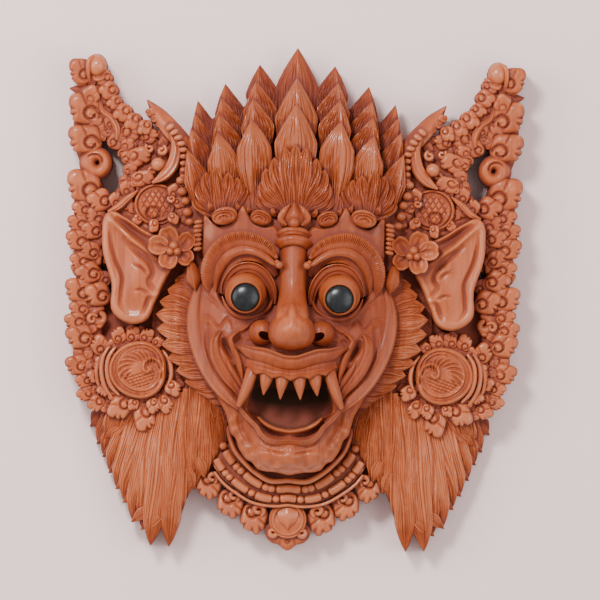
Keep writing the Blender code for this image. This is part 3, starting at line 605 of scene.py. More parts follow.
def nose_and_mouth(carving):
    nose = [(0, 36, 74, 8.8), (0, 28, 75, 8.8), (0, 18, 76.5, 8.2), (0, 8, 78.6, 8.0), (0, 0, 83, 8.8),
            (0, -6, 89.5, 9.8), (0, -12, 94.5, 10.4), (0, -18, 96, 10), (0, -25, 88, 8)]
    carving.add(*strip(nose, lambda u, v: -5.5 * np.abs(u) ** 1.8 - 3 * ridge(np.abs(u) - 1, 0.1), foot=58.0,
                       across=36, along=90), lone=True)
    bulb = [(0, -1.5), (4.8, -6.2), (9.8, -10.6), (13.4, -15), (14.8, -19.5), (14.4, -24), (11.8, -28.4),
            (6.5, -31), (0, -32)]
    carving.add(*disc(0, -18, polar_outline(bulb, (0, -18)), lambda x, y, rho: 81 + 20
                      * np.clip(1 - rho**2, 0, 1) ** 0.62, 60, fine=90, world=True), lone=True)

    def flare(px, py, rho):
        pit = np.hypot((px + 0.16 - 0.5 * py) / 0.9, (py + 0.22) / 0.7)
        lobe = 71 + 12.5 * np.sqrt(np.clip(1 - rho**2.6, 0, 1)) + 2.2 * py - 1.0 * px
        return lobe - 13 * ease(0.54, 0.38, pit) + 0.5 * ridge(pit - 0.6, 0.1)

    carving.add(*disc(18.6, -21.4, lambda a: 8.2 + 0.3 * np.cos(a - 0.5), flare, 58, fine=70))
    lip = across_middle([(0, -39.6, 88, 4.5), (5, -39.2, 87.8, 4.5), (10.5, -37.4, 87, 4.6),
                         (17, -35.4, 85, 4.7), (24, -34, 81.6, 4.0), (30, -31.6, 77.5, 2.6),
                         (36, -29.6, 72.5, 0.5)])
    carving.add(*strip(lip, lambda u, v: 1.2 * ridge(u + 0.84, 0.14) - 0.7 * ridge(u + 0.5, 0.25) - 1.6
                       * u.clip(0) ** 3 - 1.9 * u, foot=62.0, across=30, along=140), lone=True)

    def gum_edge(v):
        x = np.abs(58 * (v - 0.5))
        cusp = np.min([np.abs(x - c) for c in (0, 9.9, 19.4)], axis=0)
        return 1.42 - 0.52 * np.clip(cusp / 4.6, 0, 1) ** 0.8

    gum = across_middle([(0, -45.0, 84.6, 4.2), (10, -44.0, 84, 4.2), (18, -42.4, 82, 4.2),
                         (24, -41.0, 78.4, 3.8), (28.4, -40.0, 73.5, 2.6)])
    carving.add(*strip(gum, lambda u, v: 1.2 * ridge(u - 0.72, 0.2) - 0.8 * ridge(u - 0.2, 0.3) - 0.6
                       * ridge(u - 1, 0.1), foot=60.0, across=20, along=120, wide=gum_edge), lone=True)
    carving.add(*rod([(5.2, -43, 77, 4.5), (5.2, -48, 78.6, 4.7), (5.7, -54, 80.2, 3.3),
                      (6.3, -62.9, 80, 0.25)], 20, 40))
    carving.add(*rod([(14.4, -41.5, 76, 4.5), (14.7, -46.5, 77.4, 4.7), (15.7, -52.5, 78.6, 3.4),
                      (16.9, -60.4, 78.4, 0.25)], 20, 40))
    tusk = [(22.8, -39, 76, 3.2), (24.4, -45.5, 78.4, 3.7), (26.6, -53, 79.4, 3.5), (29.4, -60.5, 78.6, 2.9),
            (32.4, -67.8, 76, 1.7)]
    carving.add(*strip(tusk, lambda u, v: -2.8 * np.abs(u) ** 2.4 + 0.6 * u, foot=58.0, across=16, along=44))
    lower = across_middle([(0, -89.4, 70, 1.7), (7, -89.8, 70, 1.7), (14, -88.2, 69.5, 1.7),
                           (18.2, -84.6, 69, 1.6), (21.0, -80.2, 68.4, 1.6), (25.2, -76.2, 68, 1.5),
                           (29.2, -71.8, 67.6, 1.5), (32.6, -67.4, 67, 1.2)])
    carving.add(*strip(lower, lambda u, v: 1.1 * ridge(u + 0.72, 0.22) - 2.6
                       * ((u + 0.75).clip(0) / 1.75) ** 1.4, foot=52.0, across=16, along=120), lone=True)
    inner = across_middle([(0, -82.9, 66.5, 1.3), (4.6, -82.3, 66.5, 1.3), (11, -80.6, 66.3, 1.3),
                           (16.4, -77.7, 66, 1.2), (20.2, -74.2, 65.6, 0.8)])
    carving.add(*strip(inner, lambda u, v: -1.5 * u * u, foot=50.0, across=10, along=90), lone=True)
    smile = [(33, -20.5, 71, 0.7), (36.2, -22.5, 72, 1.2), (38.2, -25.4, 71.8, 1.5), (36.4, -31, 72, 1.9),
             (33.9, -36.6, 72, 2.0), (32.2, -42.5, 71.6, 1.9), (31, -47, 71, 1.5), (30.2, -52, 70, 0.6)]
    carving.add(*strip(smile, lambda u, v: -1.6 * np.abs(u - 0.3) ** 1.6, foot=56.0, across=12, along=60))
    fold = [(44.6, -20.5, 66.5, 1.2), (47.8, -26, 68, 2.9), (47.6, -33.5, 68.4, 3.7),
            (44.6, -41.5, 68.4, 4.0), (39.6, -49.2, 68, 3.9), (34.6, -55.4, 67.6, 3.2),
            (30.6, -61.5, 67, 1.6)]
    carving.add(*strip(fold, lambda u, v: -2.4 * np.abs(u) ** 2.2 + 0.9 * ridge(u + 0.55, 0.22) - 0.7
                       * ridge(u + 0.1, 0.25), foot=54.0, across=18, along=60))
    fold = [(40.5, -37.5, 68.4, 0.9), (38.4, -42.6, 69, 1.9), (35, -48, 69.2, 2.0), (31.4, -53.6, 69, 1.5),
            (29, -58, 68, 0.6)]
    carving.add(*strip(fold, lambda u, v: -1.6 * u * u, foot=56.0, across=10, along=40))
    ribbon = [(56.6, 14, 51, 1.4), (58.6, 5, 53, 3.6), (60.6, -7, 54.4, 5.2), (60.0, -19, 56, 6.0),
              (57.0, -31, 58, 6.2), (51.6, -43.6, 60.6, 6.0), (44.6, -54.6, 63, 5.4), (37.6, -62.6, 65, 4.2),
              (31.5, -68.6, 66.5, 2.2)]
    carving.add(*strip(ribbon, lambda u, v: -3.6 * np.abs(u + 0.1) ** 2.2 + 0.9 * ridge(u + 0.82, 0.13) + 0.4
                       * u, thick=22, across=28, along=120))


def feathers(carving, looks):
    """Seven columns of stacked feathers. The outer ones are turned outwards, with their crests off centre."""
    columns = [((0, 0), 13.4, 0.0, [(0, 159.8), (0, 140), (0, 123.6)]),
               ((22.2, 25.6), 10.6, 0.34, [(23.9, 148.6), (26, 137.6), (27.4, 126.6), (28.2, 112.8)]),
               ((42.4, 44.8), 9.6, 0.46, [(45.6, 136), (47.6, 126.4), (48.8, 116.4), (49.6, 104.4)]),
               ((58.2, 61.4), 7.8, 0.5, [(62.8, 125), (64.6, 116.4), (66.6, 107), (68.4, 93)])]
    for column, (body, half, lean, tips) in enumerate(columns):
        for row, (x, y) in enumerate(tips):
            share = row / (len(tips) - 1)
            middle = body[0] + (body[1] - body[0]) * share
            top = 20 + (54 - 1.6 * column - 20) * share
            reach = 46 if column == 0 else 30 + 22 * (row == len(tips) - 1)
            low = max(y - reach, 58)
            path = [(middle - 0.5, low, top + 4.5, (0.4 if row == 3 else 0.8) * half),
                    (middle, low + 0.4 * (y - low), top + 4.5, half),
                    (middle + 0.42 * (x - middle), y - 11, top + 3.2, half), (x, y, top, half)]
            taper = 0.56 if column == 0 else min(0.75, 19 / (y - low))

            def wide(v, taper=taper):
                out = ((1 - v) / taper).clip(0, 1)
                return 1 - (1 - out) ** 1.22

            def rise(u, v, lean=lean, column=column):
                inner, outer = ((u - lean) / (1 + lean)).clip(-1, 0), ((u - lean) / (1 - lean)).clip(0, 1)
                out = (1 - (1 - ((1 - v) / 0.6).clip(0, 1)) ** 1.45)
                roof = -7.0 * np.abs(inner) ** 1.2 - (7.0 - 3.5 * (column > 0)) * outer**1.4
                fan = (u - lean) * (0.72 + 0.28 * v)
                rays = strands(fan, v, 6.0, 0.012, column) + 0.25 * np.cos(math.tau * 12 * u)
                cut = (1.1 + 0.9 * ease(0.6, 0.1, v)) * looks.groove * rays
                cut = cut * ease(0.98, 0.6, v) * ease(0.02, 0.14, np.abs(u - lean))
                return (roof + cut) * (0.2 + 0.8 * out)

            carving.add(*strip(path, rise, thick=16 if row else 10, across=72, along=30, wide=wide),
                        lone=column == 0)
    for x, y in ((12.1, 132.6), (32.4, 122.8), (50.6, 115.6), (66.4, 101.4)):
        lock(carving, [(x, 66, 34, 7), (x, 0.5 * y + 36, 27, 7), (x, y, 17, 6)], 5, looks.groove, plump=1,
             thick=14, along=40, tip=0.16, root=0.9)


def hair_tufts(carving, looks):
    """Flame tufts of combed hair over the brow."""
    tips = [(0, 97.5), (6.6, 96), (13.4, 89), (18.6, 82), (21.4, 74), (23.6, 66.5), (24.2, 60)]
    for place, (x, y) in enumerate(tips):
        z = 66.5 - 0.9 * place
        path = [(0.10 * x, 47 + 0.8 * place, z, 4.6), (0.42 * x, 52 + 0.30 * (y - 50), z + 1.6, 4.9),
                (0.82 * x, 50 + 0.64 * (y - 50), z + 0.6, 4.9), (x, y, z - 3.4, 3.9)]
        lock(carving, path, 4, looks.groove * 1.3, plump=1.7, thick=22, lone=x == 0, waves=0.05, along=40,
             tip=0.24, point=2.2, seed=place)
    for x, y, z in ((25.8, 70.5, 58), (28.6, 65.5, 59), (30.2, 60.5, 60)):
        lock(carving, [(0.92 * x, 47, z - 1, 3.2), (0.95 * x, 0.5 * (y + 47), z + 1, 3.6),
                       (x, y, z - 2, 2.8)], 3, looks.groove * 0.8, plump=1.2, thick=18, along=26, tip=0.3)
    tips = [(29.6, 66.5), (31.8, 72.6), (36.2, 76.2), (42, 79.2), (50.4, 82.6), (56.2, 79), (60.6, 72.6),
            (62.6, 64)]
    for place, (x, y) in enumerate(tips):
        off = abs(place - 3.6)
        z = 60.5 - 0.9 * off - 2.0 * (place > 4)
        path = [(45.6 + 0.12 * (x - 46), 49.5, z - 1, 4.2),
                (45.6 + 0.55 * (x - 46), 51 + 0.36 * (y - 50), z + 1, 4.6),
                (45.8 + 0.88 * (x - 46), 50 + 0.7 * (y - 50), z - 0.2, 4.3), (x, y, z - 3.6, 3.3)]
        lock(carving, path, 4, looks.groove * 1.2, plump=1.5, thick=20, waves=-0.04, along=34, tip=0.26,
             point=2.2, seed=place)


def diadem(carving):
    """The jewels over the brow and the ringed stud above the nose."""

    def eye_jewel(top):
        def rise(px, py, rho):
            far = np.hypot(px - 0.12, py + 0.42)
            rings = sum(ridge(far - r, 0.07) for r in (0.42, 0.74, 1.02)) * ease(-0.5, -0.1, py)
            return top - 3.2 + 3.4 * np.sqrt(np.clip(1 - rho**2.2, 0, 1)) - 1.3 * rings
        return rise

    carving.add(*disc(43.7, 51.5, lambda a: 1 / np.hypot(np.cos(a) / 8.2, np.sin(a) / 5.6), eye_jewel(70.5),
                      52, turn=-14, fine=50))
    carving.add(*disc(20.8, 50.9, lambda a: 1 / np.hypot(np.cos(a) / 6.7, np.sin(a) / 4.8), eye_jewel(73), 52,
                      turn=12, fine=44))
    for x, y, z, size in ((52.6, 57.4, 61, 3.0), (35.4, 57.0, 64, 2.6), (13.2, 54.4, 70, 2.6),
                          (28.6, 55.4, 66, 2.2)):
        path = [(x - 0.6 * size, y - size, z - 3, size), (x, y, z, size),
                (x + 0.5 * size, y + 1.3 * size, z - 1, size)]
        lock(carving, path, 1, 0.2, plump=1.2, thick=14, tip=0.9, point=1.2)
    for path in ([(0, 37.4, 77.5, 3.1), (5, 36.7, 76.6, 3.1), (9.2, 34.2, 72.5, 3.0), (11.6, 31.6, 67, 2.4)],
                 [(0, 43, 76.4, 2.6), (5, 42.3, 75.4, 2.6), (8.8, 40, 71.5, 2.5), (11, 37.4, 66, 2.0)]):
        double = 0.7 if path[0][3] < 3 else 0.25
        carving.add(*strip(across_middle(path), lambda u, v, double=double: 1.6
                           * np.sqrt(np.clip(1 - u * u, 0, 1)) - double * ridge(u - 0.1, 0.18) - 1.2,
                           thick=16, across=20, along=60), lone=True)
    carving.add(*bead(0, 47.9, 78, 3.3, sides=24), lone=True)
    hood = [(0, 46, 73, 8.5), (0, 53, 75.5, 7.4), (0, 58, 74, 4), (0, 62, 70.5, 0.4)]
    carving.add(*strip(hood, lambda u, v: -4.6 * np.abs(u) ** 1.3 - 0.6 * ridge(np.abs(u) - 0.55, 0.1),
                       thick=16, across=24, along=24), lone=True)
    flap = [(4.6, 46.4, 73, 1.0), (8.2, 50.2, 74, 2.2), (6.4, 55, 74.5, 2.0), (2.4, 59.6, 72.5, 0.3)]
    carving.add(*strip(flap, lambda u, v: -1.2 * u * u, thick=14, across=10, along=26))
    for step in range(7):
        share = step / 6
        carving.add(*bead(60.2 + 0.4 * math.sin(3 * share), 47.5 - 17 * share, 58.6 + share, 2.9, 1.5,
                          turn=-12, sides=14))


def chain(carving, path, count, size, side, foot=6.0):
    """Small scroll heads in a row along a path of (x, y, z, 0), each turned to one side of it."""
    for step in range(count):
        here, ahead = spline(path, [step / (count - 1), min(1, step / (count - 1) + 0.02)])
        back = spline(path, [max(0, step / (count - 1) - 0.02)])[0]
        aim = math.degrees(math.atan2(ahead[1] - back[1], ahead[0] - back[0])) + side
        grow = size * (1 + 0.14 * math.sin(2.3 * step))
        head(carving, here[0], here[1], grow, 0.92 * grow, here[2] + 0.6 * (step % 2), aim, side < 0,
             foot=foot, fine=20, cuts=(0.2,))


def wings(carving):
    """The scrolled side panels: heads down the outer edge, an arm, curls, a horn and the gap's scroll."""
    ball_top = [(0, 33), (2.2, 32.6), (4.2, 31.4), (5.8, 29.2), (6.5, 26), (6.3, 20), (5.6, 6), (0, 6)]
    carving.add(*turned(126.9, 145.4, ball_top, 36, (1.02, 1.16)))
    carving.add(*rod([(131, 133.5, 26, 0.9), (132.4, 141, 30, 1.5), (131.6, 149, 31, 1.4),
                      (128.6, 152, 30, 0.8)], 12, 30))
    carving.add(*rod([(121.2, 141, 26, 0.9), (123.4, 137.4, 28.5, 1.5), (127.4, 136.6, 29, 1.3),
                      (129.4, 139, 28, 0.8)], 12, 30))
    spike = [(131, 128, 22, 3.6), (138, 130, 22.5, 3.4), (144.2, 131, 20, 0.4)]
    carving.add(*strip(spike, lambda u, v: -1.5 * np.abs(u), thick=14, across=8, along=16))
    outer = [(138.6, 141.2, 6.4, 7.8, 30, -4), (135.6, 117.4, 9.4, 9.6, 31, -4),
             (134.4, 98.4, 9.8, 8.6, 31, -8), (134.8, 68.6, 9.8, 10.2, 31, -4),
             (122.8, 59.8, 7.2, 6.8, 32, -30), (134.4, 54.2, 5.6, 5.2, 30, -20),
             (125.4, 49.4, 6.2, 5.4, 30, 10), (136.6, 45.4, 6.2, 5.0, 30, -10),
             (127.4, 41.0, 6.2, 5.6, 31, -20), (136.6, 34.6, 6.8, 6.2, 31, -10),
             (128.4, 28.0, 6.0, 5.6, 30, 0), (135.0, 21.6, 5.6, 5.2, 30, -20),
             (129.0, 13.8, 7.0, 6.6, 31, -30), (119.8, 10.6, 4.6, 4.6, 28, 0), (136.0, 2.6, 8.2, 7.4, 31, -4),
             (123.0, 0.4, 7.4, 7.2, 32, -20), (134.8, -8.6, 5.8, 4.8, 30, -20),
             (137.0, -16.8, 6.2, 5.4, 31, -20), (134.0, -26.6, 7.8, 7.4, 31, -20)]
    for x, y, rx, ry, top, turn in outer:
        rx, ry = 1.07 * rx, 1.1 * ry
        head(carving, min(x, 144.8 - 1.1 * rx), y, rx, ry, top, turn)
    head(carving, 130.4, 126.4, 5.8, 5.4, 32, 60, cuts=(), eye=(-0.35, -0.3), deep=0.6)
    for x, y, radius, z, turn, flip in ((121.5, -13.5, 8.2, 25, 120, True), (126.4, -15, 4.8, 28, 160, True),
                                        (119.4, 22, 3.2, 22, 40, False), (128, 70.5, 3.6, 24, 20, True),
                                        (129.6, 104.6, 3.4, 26, 80, False), (127.2, 56.2, 3.2, 26, 0, True),
                                        (130.2, 36.2, 3.6, 25, 90, True), (128.4, 17.6, 3.4, 25, 10, False),
                                        (129.6, -4.4, 3.6, 26, 70, True)):
        curl(carving, x, y, radius, z, turn, flip=flip)

    def hook(px, py, rho):
        far, around = np.hypot(px + 0.05, py), np.arctan2(py, -px)
        plump = 31 - 7.5 * np.abs((far - 0.52) / 0.48) ** 2.6
        cut = 2.2 * ridge(far - 0.3 - 0.13 * around, 0.06) * ease(-0.2, 0.3, around) * ease(2.9, 2.2, around)
        return plump - 3 * ease(0.18, 0.06, far) - cut

    carving.add(*disc(126.0, 83.8, lambda a: 10.6 + 0.5 * np.cos(a), hook, 6, fine=60))
    inner = [(120.2, 119.8, 4.8, 4.6, 27, 100), (112.6, 113.2, 5.2, 4.8, 28, 90),
             (104.2, 104.6, 8.4, 6.6, 32, 130), (92.8, 101.6, 5.2, 5.0, 33, 120),
             (126.6, 107.2, 5.8, 5.4, 29, 70), (113.6, 98.2, 6.0, 5.4, 31, 110),
             (99.6, 88.4, 7.6, 6.2, 36, 150), (96.4, 74.6, 7.4, 5.2, 40, 160),
             (106.0, 67.6, 5.4, 4.8, 37, 60), (112.6, 60.2, 5.2, 4.6, 36, 50),
             (104.6, 79.6, 4.6, 4.4, 35, 100), (121.8, 129.6, 4.0, 4.4, 27, 80),
             (108.2, 90.4, 4.4, 4.2, 32, 120), (117.8, 109.6, 4.4, 4.2, 29, 60),
             (106.6, 58.6, 4.6, 4.0, 38, 100), (76.2, 66.4, 4.6, 4.2, 46, 60),
             (69.4, 72.4, 4.4, 4.0, 46, 100)]
    for x, y, rx, ry, top, turn in inner:
        head(carving, x, y, rx, ry, top, turn, cuts=(1.3, 0.6) if rx > 5 else ())
    for x, y, radius, z, turn, flip in ((86.6, 84, 5.4, 40, 200, False), (118.6, 103.4, 3.8, 26, 30, True),
                                        (108.4, 97, 3.4, 28, 140, False), (103.2, 95.4, 3.2, 30, 250, True),
                                        (92.4, 93.6, 4.0, 34, 60, True), (90, 79.4, 3.6, 38, 320, False),
                                        (101.6, 70.6, 3.4, 37, 200, True), (84.6, 92.4, 4.4, 37, 100, False),
                                        (77.4, 62, 3.4, 46, 30, True), (107.4, 74.4, 3.2, 33, 300, False)):
        curl(carving, x, y, radius, z, turn, flip=flip)
    carving.add(*bead(86.7, 83.5, 47, 4.2, sides=24))
    chain(carving, [(122.4, 137.5, 29, 0), (118.4, 128, 30, 0), (111.0, 117.2, 31.5, 0),
                    (103.0, 110.4, 33, 0), (95.4, 106.8, 34.5, 0)], 6, 5.6, 70)
    chain(carving, [(106.4, 95.6, 33, 0), (105.4, 85, 34, 0), (106.2, 74, 34.5, 0), (109.4, 64, 34, 0)], 5,
          4.4, -90)
    for path in ([(125.2, 127, 28, 1.2), (123, 117, 29.5, 2.0), (116.4, 111.6, 31, 2.4),
                  (113.0, 104.5, 32.5, 2.2), (113.4, 98.6, 33, 1.0)],
                 [(79.6, 103.6, 40, 0.8), (75.6, 95, 43, 3.0), (77.2, 84, 45, 3.8), (83.6, 75.8, 46, 3.0),
                  (90, 71.6, 45, 0.8)],
                 [(99, 66.6, 41, 0.8), (104.4, 62.4, 42, 1.8), (112, 55.6, 41, 2.0), (117.6, 52.6, 39, 1.2)]):
        carving.add(*strip(path, lambda u, v: -2.2 * np.abs(u) ** 2 + 0.7 * ridge(u - 0.7, 0.2) - 0.5
                           * ridge(u - 0.3, 0.2), foot=10.0, across=18, along=60))
    horn = [(62, 84, 38, 5.5), (71, 97, 37.5, 5.8), (79.6, 106.8, 36.5, 5.6), (87.6, 115.8, 33, 4.4),
            (94.6, 124.4, 30, 0.5)]
    carving.add(*strip(horn, lambda u, v: -3.4 * np.abs(u - 0.2) ** 1.6, thick=16, across=20, along=34))
    for x, y, turn in ((92.6, 116.6, 150), (89.6, 112.6, 160), (86.0, 109.6, 170)):
        head(carving, x, y, 2.9, 2.6, 33, turn, cuts=(), fine=18)
    line = [(79.6, 107, 0, 0), (74.4, 100.6, 0, 0), (71, 92.7, 0, 0), (70, 84, 0, 0), (69.8, 76, 0, 0)]
    for step in range(9):
        x, y = spline(line, [step / 8])[0, :2]
        carving.add(*bead(x, y, 43.5 + 0.5 * step, 2.9, 1.8, turn=-35 + 35 * min(1, step / 4), sides=16))
    for x, y, rx, ry, top in ((71.4, 73.6, 3.6, 2.6, 49), (70.8, 66.6, 3.4, 2.8, 50),
                              (68.6, 60.6, 3.0, 2.6, 51), (67.2, 53.6, 3.2, 3.0, 51),
                              (65.4, 47.4, 3.0, 2.4, 52)):
        carving.add(*bead(x, y, top, rx, ry, sides=16))


def undergrowth(carving):
    """Small scroll heads that fill the ground between the larger ones."""
    inside = polar_outline(WING_BED, (97, 92))
    gap = polar_outline(WING_GAP, (116, 78))
    spine = [(127, 147), (131, 130), (132, 112), (132, 96), (130.5, 68), (130, 50), (129.5, 20), (129.5, -20),
             (127, -48), (118, -66)]
    temple = [(70, 94), (68, 76), (66, 56), (64, 38)]
    xs, ys = np.meshgrid(np.arange(58, 142, 6.2), np.arange(-76, 146, 5.4))
    x = (xs + 3.1 * (np.arange(len(xs)) % 2)[:, None] + 0.9 * np.sin(1.7 * ys)).ravel()
    y = (ys + 0.9 * np.sin(1.3 * xs)).ravel()
    wing = np.hypot(x - 97, y - 92) < inside(np.arctan2(y - 92, x - 97)) - 2.5
    edge = (np.abs(near(x, y, spine, 60)[0]) < 7) & (x < 139)
    far = np.hypot(x - MEDALLION[0], y - MEDALLION[1])
    ring = (far < 26) & (far > 18)
    temples = np.abs(near(x, y, temple)[0]) < 5
    open_gap = np.hypot(x - 116, y - 78) < gap(np.arctan2(y - 78, x - 116)) + 4.2
    beads = (x < 80) & (y > 74)
    clear = np.hypot(x - ROSETTE[0], y - ROSETTE[1]) > 13
    chosen = (wing | edge | ring | temples) & ~open_gap & ~beads & clear
    for px, py in zip(x[chosen], y[chosen]):
        at_medallion = math.hypot(px - MEDALLION[0], py - MEDALLION[1]) < 26
        low = 24.5 + 13.5 * bump(px - 60, py - 40, 42, 62) if py > 40 else 25 + 4 * at_medallion
        low = max(low, 43 * (px < 72 and py > 34))
        size = 3.7 + 0.5 * math.sin(2.1 * px + py)
        head(carving, px, py, size, 0.94 * size, low + 2.6, 180 * math.sin(0.7 * px + 1.1 * py), px + py > 90,
             foot=8, fine=13, cuts=())


def round_ornaments(carving):
    """The net rosette over each ear and the spiral medallion below it, with its scroll heads."""

    def rosette(px, py, rho):
        net = np.maximum(ridge(np.sin(11 * (px + 0.5 * py)), 0.3), ridge(np.sin(11 * (px - 0.7 * py)), 0.3))
        rim = 2.0 * ridge(rho - 0.93, 0.06) + 1.6 * ridge(rho - 0.78, 0.05) - 0.8 * ridge(rho - 0.86, 0.03)
        cut = np.hypot(px - 0.15, py + 0.42)
        dome = 40 + 2.6 * np.sqrt(np.clip(1 - (rho / 0.78) ** 2, 0, 1)) + rim
        return dome - 1.15 * net * ease(0.72, 0.62, rho) - 2.4 * ridge(cut - 0.3, 0.07) * ease(0.1, -0.2, py)

    carving.add(*disc(*ROSETTE, lambda a: 13.6 + 0.5 * np.cos(2 * a), rosette, 12, fine=92))
    for x, y, rx, ry, top, turn in ((96.6, 68.6, 4.6, 4.2, 38, 60), (101.4, 55.4, 3.8, 4.0, 38, 0),
                                    (76.0, 49.6, 3.8, 3.4, 47, 200), (88.2, 44.6, 4.2, 3.2, 45, 260),
                                    (98.6, 48.4, 3.8, 3.2, 41, 300), (72.6, 59.6, 3.6, 3.8, 47, 160)):
        head(carving, x, y, rx, ry, top, turn, cuts=())
    hook = [(-17.2, -4.3), (-15, 3.0), (-11.5, 6.9), (-6.8, 8.0), (-3.2, 5.6), (-2.4, 1.7), (-5.0, -0.9),
            (-7.6, 1.1)]
    second = [(-13.6, -8.5), (-14, -1.5), (-11.6, 3.2), (-7.6, 5.0)]

    def medallion(px, py, rho):
        x, y = px * 18.4, py * 18.4
        turn = np.arctan2(py, px)
        wind = rho - 0.05 * np.cos(turn - 2.4)
        rim = 2.2 * ridge(rho - 0.93, 0.05) + 1.8 * ridge(wind - 0.76, 0.045) + 1.0 * ridge(wind - 0.85, 0.03)
        swell = 3.4 * np.sqrt(np.clip(1 - (rho / 0.74) ** 2, 0, 1))
        rays = 0.9 * np.cos(20 * (np.arctan2(py + 0.1, px + 0.1) + 1.5 * rho)) * ease(0.2, 0.45, rho)
        rays = rays * ease(0.72, 0.6, rho) * ease(-0.15, 0.1, py + 0.6 * px)
        net = np.maximum(ridge(np.sin(1.45 * y + 0.5 * x), 0.42),
                         0.7 * ridge(np.sin(1.0 * x - 0.7 * y), 0.36))
        net = 1.1 * net * ease(0.66, 0.56, rho) * ease(-0.02, -0.14, py + 0.12 * px)
        cuts = crease(x, y, hook, 1.2, 3.4, 0.3), crease(x, y, second, 0.9, 1.6, 0.3)
        return 36 + rim + swell + rays - net - cuts[0] - cuts[1]

    x, y = MEDALLION
    carving.add(*disc(x, y, lambda a: 18.2 + 1.0 * np.cos(a - 0.5) + 0.5 * np.cos(3 * a), medallion, 10,
                      fine=124))
    heads = [(109.4, -25.4, 5.2, 4.8, 34, 60), (100.4, -24.4, 4.8, 4.8, 34, 80),
             (91.8, -25.0, 4.8, 4.6, 35, 100), (121.2, -32, 6.2, 6.0, 32, 40),
             (84.4, -28.6, 3.6, 3.6, 36, 130), (107.2, -70.4, 7.8, 7.2, 34, 290),
             (91.4, -76.4, 8.0, 7.2, 34, 250), (79.0, -67.6, 5.6, 5.0, 36, 220),
             (74.2, -57.4, 5.2, 4.8, 38, 200), (86.4, -68.8, 4.6, 4.2, 37, 240),
             (135.2, -44.6, 7.2, 6.8, 29, -20), (130.6, -54.2, 5.4, 4.8, 29, -30),
             (129.6, -62.6, 5.4, 4.8, 28, -40), (122.6, -68.2, 5.6, 5.2, 29, -60),
             (119.8, -43.6, 4.6, 4.8, 33, 10), (124, -51.4, 4.2, 4.4, 32, -20),
             (117.2, -59.4, 4.6, 4.4, 33, -50), (99.0, -68.4, 3.8, 3.6, 35, 270),
             (114.6, -31.8, 3.6, 3.6, 33, 60)]
    for hx, hy, rx, ry, top, turn in heads:
        head(carving, hx, hy, rx, ry, top, turn)
    for hx, hy, radius, z, turn, flip in ((116.8, -39.6, 3.4, 30, 120, False),
                                          (112.6, -64, 3.8, 31, 200, True), (99.6, -70.6, 3.6, 31, 240, True),
                                          (127.2, -44.2, 3.8, 26, 90, True),
                                          (122.6, -59.8, 3.4, 27, 300, False)):
        curl(carving, hx, hy, radius, z, turn, flip=flip)
    for path in ([(110.6, -31.6, 35, 0.8), (114.9, -38, 35.5, 1.3), (116.2, -47.4, 35.5, 1.5),
                  (113.6, -56.6, 35, 1.4), (107.6, -63.6, 34.5, 0.7)],
                 [(114.4, -30.8, 33, 0.8), (118.8, -39, 33.5, 1.4), (119.6, -48.4, 33.5, 1.6),
                  (117.2, -58, 33, 1.5), (111.6, -66, 32.5, 0.8)],
                 [(119.6, -36.6, 31.5, 0.8), (122.6, -45, 32, 1.3), (122.2, -53.6, 31.5, 1.3),
                  (119.6, -60.6, 31, 0.6)],
                 [(81.4, -33.4, 36, 0.6), (76.8, -40.6, 37, 1.3), (75.6, -49.6, 37, 1.3),
                  (78.4, -58.4, 36, 0.6)]):
        carving.add(*rod(path, 12, 40))


